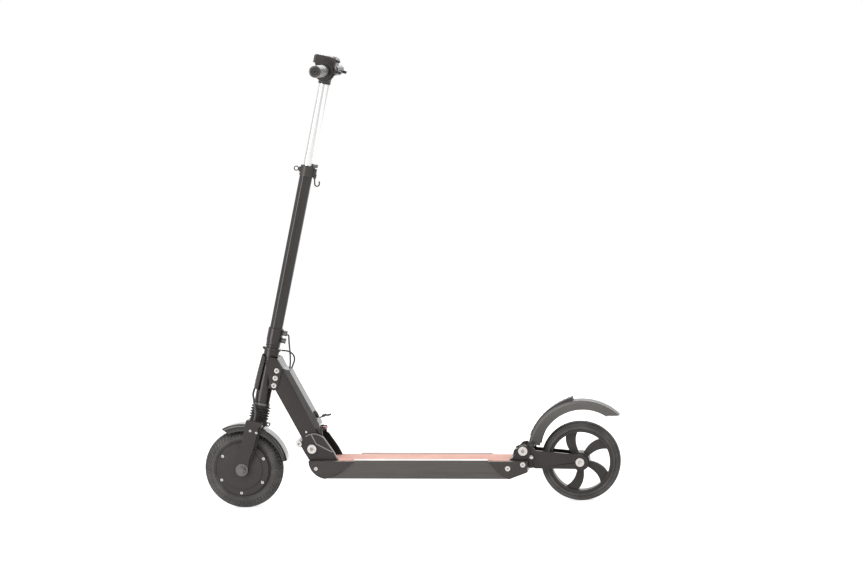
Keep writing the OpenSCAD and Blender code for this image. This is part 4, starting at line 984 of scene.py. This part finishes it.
# Routes in the steering frame, in millimetres, as the source draws them; the last point of each control
# route leads it on to the stem box
CONTROL_ROUTES = {
    "brake_cable": [
        (-31, 4, 352), (-35, 5, 350), (-38.5, 8, 338), (-43.6, 9, 321), (-49, 9, 302), (-52, 9, 288),
        (-53.5, 9, 277), (-54.4, 9, 269.6),
    ],
    "signal_cable": [
        (-22.6, -4, 308.5), (-28, -5, 309.6), (-36, -7, 310.3), (-46, -8, 308.6), (-55, -9, 302.4),
        (-59.3, -9, 292.5), (-58.4, -9, 281.5), (-57.5, -9, 276), (-56.3, -9, 268.9),
    ],
}
MOTOR_ROUTE = [
    (24, 6, 202.8), (24.5, 8, 196), (24, 13, 187), (20, 19, 178), (15, 26, 167), (9, 30, 154),
    (6, 33, 143), (5, 37, 133), (5, 38, 125.2),
]
ROUTE_STEPS = 4


def lead(name, route, diameter, node):
    """A lead along its route, shown in place of the CAD node that it stands for."""
    path = [place(STEER, p) for p in spline(route, ROUTE_STEPS)]
    piece = tube(name, path, diameter)
    coat(piece, "rubber")
    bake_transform(piece)
    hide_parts(node)


class SCOOTER_OT_leads(bpy.types.Operator):
    """Control cables behind the stem's foot and the motor lead beside the bellows"""

    bl_idname = "scooter.leads"
    bl_label = "Leads"

    def execute(self, context):
        sizes = context.scene.scooter_sizes
        for name, route in CONTROL_ROUTES.items():
            lead(name, route, sizes.cable_d, "control_cables")
        lead("motor_lead", MOTOR_ROUTE, sizes.motor_lead_d, "motor_cable")
        return {"FINISHED"}


class SCOOTER_OT_springs(bpy.types.Operator):
    """Coil spring inside the steerer and rubber buffers under the swing arm's nose"""

    bl_idname = "scooter.springs"
    bl_label = "Springs and buffers"

    def execute(self, context):
        low, high, coil_r, wire, turns = 217.6, 280.8, 8.1, 3.2, 9
        steps = 24
        path = []
        for i in range(turns * steps + 1):
            a = FULL_TURN * i / steps
            level = low + (high - low) * i / (turns * steps)
            path.append(place(STEER, (coil_r * math.cos(a), coil_r * math.sin(a), level)))
        coil = tube("fork_coil", path, wire * MM)
        coat(coil, "plated")
        finished(coil, "steering", "steel", "fork_spring")
        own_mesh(coil)
        height = 12.6
        profile = [(0, 0), (7.2, 0), (8, 0.8), (7.7, 2.5), (7.0, height * 0.5), (7.5, height - 2.2),
                   (7.2, height - 0.6), (6.4, height), (0, height)]
        for side, name in ((1, "left_buffer"), (-1, "right_buffer")):
            foot = (-264, side * 16.5, 130.6)
            buffer = turned(name, profile, steps=40)
            lay(buffer, STAND @ shift(*foot))
            smooth(buffer, degrees=30)
            coat(buffer, "rubber")
            finished(buffer, "deck", "rubber", "rear_buffers")
            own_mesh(buffer)
        return {"FINISHED"}


# The standing mat and its tongue between the hinge cheeks: rear end, front end and half width
MAT_PARTS = {
    "standing_mat": (-251, 177.7, 62.5),
    "mat_tongue": (177.7, 200.2, 43.4),
}
MAT_W = 2 * MAT_PARTS["standing_mat"][2]


class SCOOTER_OT_mat(bpy.types.Operator):
    """Standing mat with staggered raised pads inside a flat border"""

    bl_idname = "scooter.mat"
    bl_label = "Standing mat"

    def execute(self, context):
        pitch = MAT_W / context.scene.scooter_sizes.mat_rows
        under, pad_h, base_h, pad_gap = 126.6, 0.6, 1.8, 0.9
        for name, (x0, x1, half) in MAT_PARTS.items():
            length, width = x1 - x0, 2 * half
            columns, rows = round(length / pitch), round(width / pitch)
            deselect()
            bpy.ops.mesh.primitive_grid_add(x_subdivisions=columns, y_subdivisions=rows, size=1)
            piece = context.object
            piece.name = name
            stretch(piece, length, width, 1 / MM)
            cell_x, cell_y = length / columns, width / rows

            def on_pad(point, normal):
                i = int((point.x / MM + length / 2) / cell_x)
                j = int((point.y / MM + half) / cell_y)
                return normal.z > 0.5 and 0 < j < rows - 1 and (i + j) % 2 == 0

            edit(piece)
            bpy.ops.mesh.select_all(action="SELECT")
            bpy.ops.mesh.extrude_region_move(TRANSFORM_OT_translate={"value": (0, 0, base_h * MM)})
            pick_faces(piece, lambda p, n: p.z > base_h * MM / 2 and on_pad(p, n))
            bpy.ops.mesh.inset(thickness=pad_gap * MM, depth=pad_h * MM, use_individual=True)
            leave()
            outward(piece)
            lay(piece, STAND @ shift((x0 + x1) / 2, 0, under))
            smooth(piece, degrees=30)
            coat(piece, "mat")
            finished(piece, "deck", "mat", "grip_mat")
        return {"FINISHED"}


class SCOOTER_OT_display(bpy.types.Operator):
    """Display window with a raised bezel round a sunken screen"""

    bl_idname = "scooter.display"
    bl_label = "Display"

    def execute(self, context):
        u0, u1, half, thick, proud = -5.8, 29.2, 29, 2, 0.8
        bezel, sunk, edge = 3.2, 0.4, 0.4
        deselect()
        bpy.ops.mesh.primitive_cube_add(size=1)
        piece = context.object
        piece.name = "display_window"
        stretch(piece, u1 - u0, 2 * half, thick)
        lay(piece, shift(0, 0, thick / 2))
        edit(piece)
        pick_faces(piece, lambda p, n: n.z > 0.9)
        bpy.ops.mesh.inset(thickness=bezel * MM, depth=0)
        bpy.ops.mesh.inset(thickness=sunk * MM, depth=-sunk * MM)
        screen = (thick - sunk * 0.75) * MM
        leave()
        coat(piece, "plastic", "screen")
        for face in piece.data.polygons:
            face.material_index = int(face.normal.z > 0.9 and face.center.z < screen)
        apply_modifier(
            piece, "BEVEL", width=edge * MM, segments=2, limit_method="ANGLE", angle_limit=math.radians(40),
        )
        lay(piece, STEER @ shift((u0 + u1) / 2, 0, CONSOLE_TOP + proud - thick))
        smooth(piece, degrees=30)
        finished(piece, "inner_stem", "screen", "display")
        return {"FINISHED"}


def studio_mix(tree, plain, seen):
    """Mix two shaders: camera, glossy and transmission rays see the second."""
    path = tree.nodes.new("ShaderNodeLightPath")
    total = path.outputs["Is Camera Ray"]
    for ray in ("Is Glossy Ray", "Is Transmission Ray"):
        add = tree.nodes.new("ShaderNodeMath")
        add.operation = "MAXIMUM"
        tree.links.new(total, add.inputs[0])
        tree.links.new(path.outputs[ray], add.inputs[1])
        total = add.outputs[0]
    mix = tree.nodes.new("ShaderNodeMixShader")
    tree.links.new(total, mix.inputs[0])
    tree.links.new(plain, mix.inputs[1])
    tree.links.new(seen, mix.inputs[2])
    return mix.outputs[0]


# Light from all round, then the floor's side in metres, its colour and the white added where a camera sees it
AMBIENT = 0.62
FLOOR_SIDE = 80
FLOOR_COLOUR = (0.86, 0.86, 0.855, 1)
FLOOR_LIFT = 0.5


def studio_world(scene):
    """Soft light from all round, seen as plain white."""
    world = bpy.data.worlds.new("studio_white")
    world.use_nodes = True
    tree = world.node_tree
    tree.nodes.clear()
    ambient = tree.nodes.new("ShaderNodeBackground")
    ambient.inputs["Strength"].default_value = AMBIENT
    white = tree.nodes.new("ShaderNodeBackground")
    white.inputs["Strength"].default_value = 1.0
    for node in (ambient, white):
        node.inputs["Color"].default_value = (1, 1, 1, 1)
    out = tree.nodes.new("ShaderNodeOutputWorld")
    tree.links.new(studio_mix(tree, ambient.outputs[0], white.outputs[0]), out.inputs["Surface"])
    scene.world = world


def studio_floor():
    """Pale floor that keeps the scooter's shadow."""
    deselect()
    bpy.ops.mesh.primitive_plane_add(size=FLOOR_SIDE)
    floor = bpy.context.object
    floor.name = "studio_floor"
    material = bpy.data.materials.new("studio_floor")
    material.use_nodes = True
    tree = material.node_tree
    tree.nodes.clear()
    diffuse = tree.nodes.new("ShaderNodeBsdfDiffuse")
    diffuse.inputs["Color"].default_value = FLOOR_COLOUR
    lift = tree.nodes.new("ShaderNodeEmission")
    lift.inputs["Strength"].default_value = FLOOR_LIFT
    both = tree.nodes.new("ShaderNodeAddShader")
    tree.links.new(diffuse.outputs[0], both.inputs[0])
    tree.links.new(lift.outputs[0], both.inputs[1])
    out = tree.nodes.new("ShaderNodeOutputMaterial")
    tree.links.new(studio_mix(tree, diffuse.outputs[0], both.outputs[0]), out.inputs["Surface"])
    floor.data.materials.append(material)


# Lamp, place, the point that it faces, size in metres and power in watts
STAGE_MIDDLE = (0, 0, 0.5)
SOFTBOXES = [
    ("key_softbox", (1.6, 3.0, 3.4), STAGE_MIDDLE, (2.6, 2.0), 95),
    ("fill_softbox", (-2.8, 2.6, 1.8), STAGE_MIDDLE, (2.0, 2.0), 34),
    ("rim_softbox", (-0.6, -3.0, 2.6), STAGE_MIDDLE, (3.0, 1.6), 60),
    ("side_softbox", (2.6, 2.3, 0.8), (0.4, 0, 0.7), (1.6, 2.4), 74),
]


def softbox(name, at, aim, size, power):
    lamp = bpy.data.lights.new(name, "AREA")
    lamp.shape = "RECTANGLE"
    lamp.size, lamp.size_y = size
    lamp.energy = power
    box = bpy.data.objects.new(name, lamp)
    bpy.context.scene.collection.objects.link(box)
    box.location = at
    box.rotation_euler = (Vector(aim) - Vector(at)).to_track_quat("-Z", "Y").to_euler()
    box.visible_camera = False


def photo_camera(scene):
    """Long lens from the left side, a little behind and above the middle."""
    azimuth, elevation, roll = (math.radians(a) for a in (186.2, 4.2, -2.06))
    distance, aim = 8.5, Vector((-0.0655, 0, 0.54226))
    focal_px, image_w = 3397.6, 863
    level = math.cos(elevation)
    back = Vector((math.sin(azimuth) * level, -math.cos(azimuth) * level, math.sin(elevation)))
    right = Vector((0, 0, 1)).cross(back).normalized()
    up = back.cross(right)
    across = right * math.cos(roll) + up * math.sin(roll)
    upright = up * math.cos(roll) - right * math.sin(roll)
    lens = bpy.data.cameras.new("photo_camera")
    lens.sensor_width = 36
    lens.lens = focal_px / image_w * lens.sensor_width
    lens.clip_end = 200
    camera = bpy.data.objects.new("photo_camera", lens)
    scene.collection.objects.link(camera)
    at = aim + back * distance
    camera.matrix_world = Matrix((
        (across.x, upright.x, back.x, at.x),
        (across.y, upright.y, back.y, at.y),
        (across.z, upright.z, back.z, at.z),
        (0, 0, 0, 1),
    ))
    scene.camera = camera


class SCOOTER_OT_stage(bpy.types.Operator):
    """Pale floor, soft studio light and the camera"""

    bl_idname = "scooter.stage"
    bl_label = "Stage"

    def execute(self, context):
        scene = context.scene
        scene.view_settings.view_transform = "Standard"
        studio_world(scene)
        studio_floor()
        for row in SOFTBOXES:
            softbox(*row)
        photo_camera(scene)
        return {"FINISHED"}


OPERATORS = (
    SCOOTER_OT_stage,
    SCOOTER_OT_frame,
    SCOOTER_OT_leads,
    SCOOTER_OT_front_tyre,
    SCOOTER_OT_rear_tyre,
    SCOOTER_OT_grips,
    SCOOTER_OT_bellows,
    SCOOTER_OT_springs,
    SCOOTER_OT_mat,
    SCOOTER_OT_display,
)


class SCOOTER_PT_dresser(bpy.types.Panel):
    """Lists the scooter's piece operators, sizes and colours"""

    bl_idname = "SCOOTER_PT_dresser"
    bl_label = "Kick Scooter"
    bl_space_type = "VIEW_3D"
    bl_region_type = "UI"
    bl_category = "Scooter"

    def draw(self, context):
        for operator in OPERATORS:
            self.layout.operator(operator.bl_idname)
        for group in (context.scene.scooter_sizes, context.scene.scooter_colours):
            for key in group.__annotations__:
                self.layout.prop(group, key)


CLASSES = (ScooterColours, ScooterSizes, *OPERATORS, SCOOTER_PT_dresser)


def register():
    for cls in CLASSES:
        bpy.utils.register_class(cls)
    bpy.types.Scene.scooter_colours = PointerProperty(type=ScooterColours)
    bpy.types.Scene.scooter_sizes = PointerProperty(type=ScooterSizes)


def unregister():
    del bpy.types.Scene.scooter_colours
    del bpy.types.Scene.scooter_sizes
    for cls in reversed(CLASSES):
        bpy.utils.unregister_class(cls)


def main():
    register()
    bpy.ops.scooter.stage()
    bpy.ops.scooter.frame()
    bpy.ops.scooter.leads()
    bpy.ops.scooter.front_tyre()
    bpy.ops.scooter.rear_tyre()
    bpy.ops.scooter.grips()
    bpy.ops.scooter.bellows()
    bpy.ops.scooter.springs()
    bpy.ops.scooter.mat()
    bpy.ops.scooter.display()


if __name__ == "__main__":
    main()
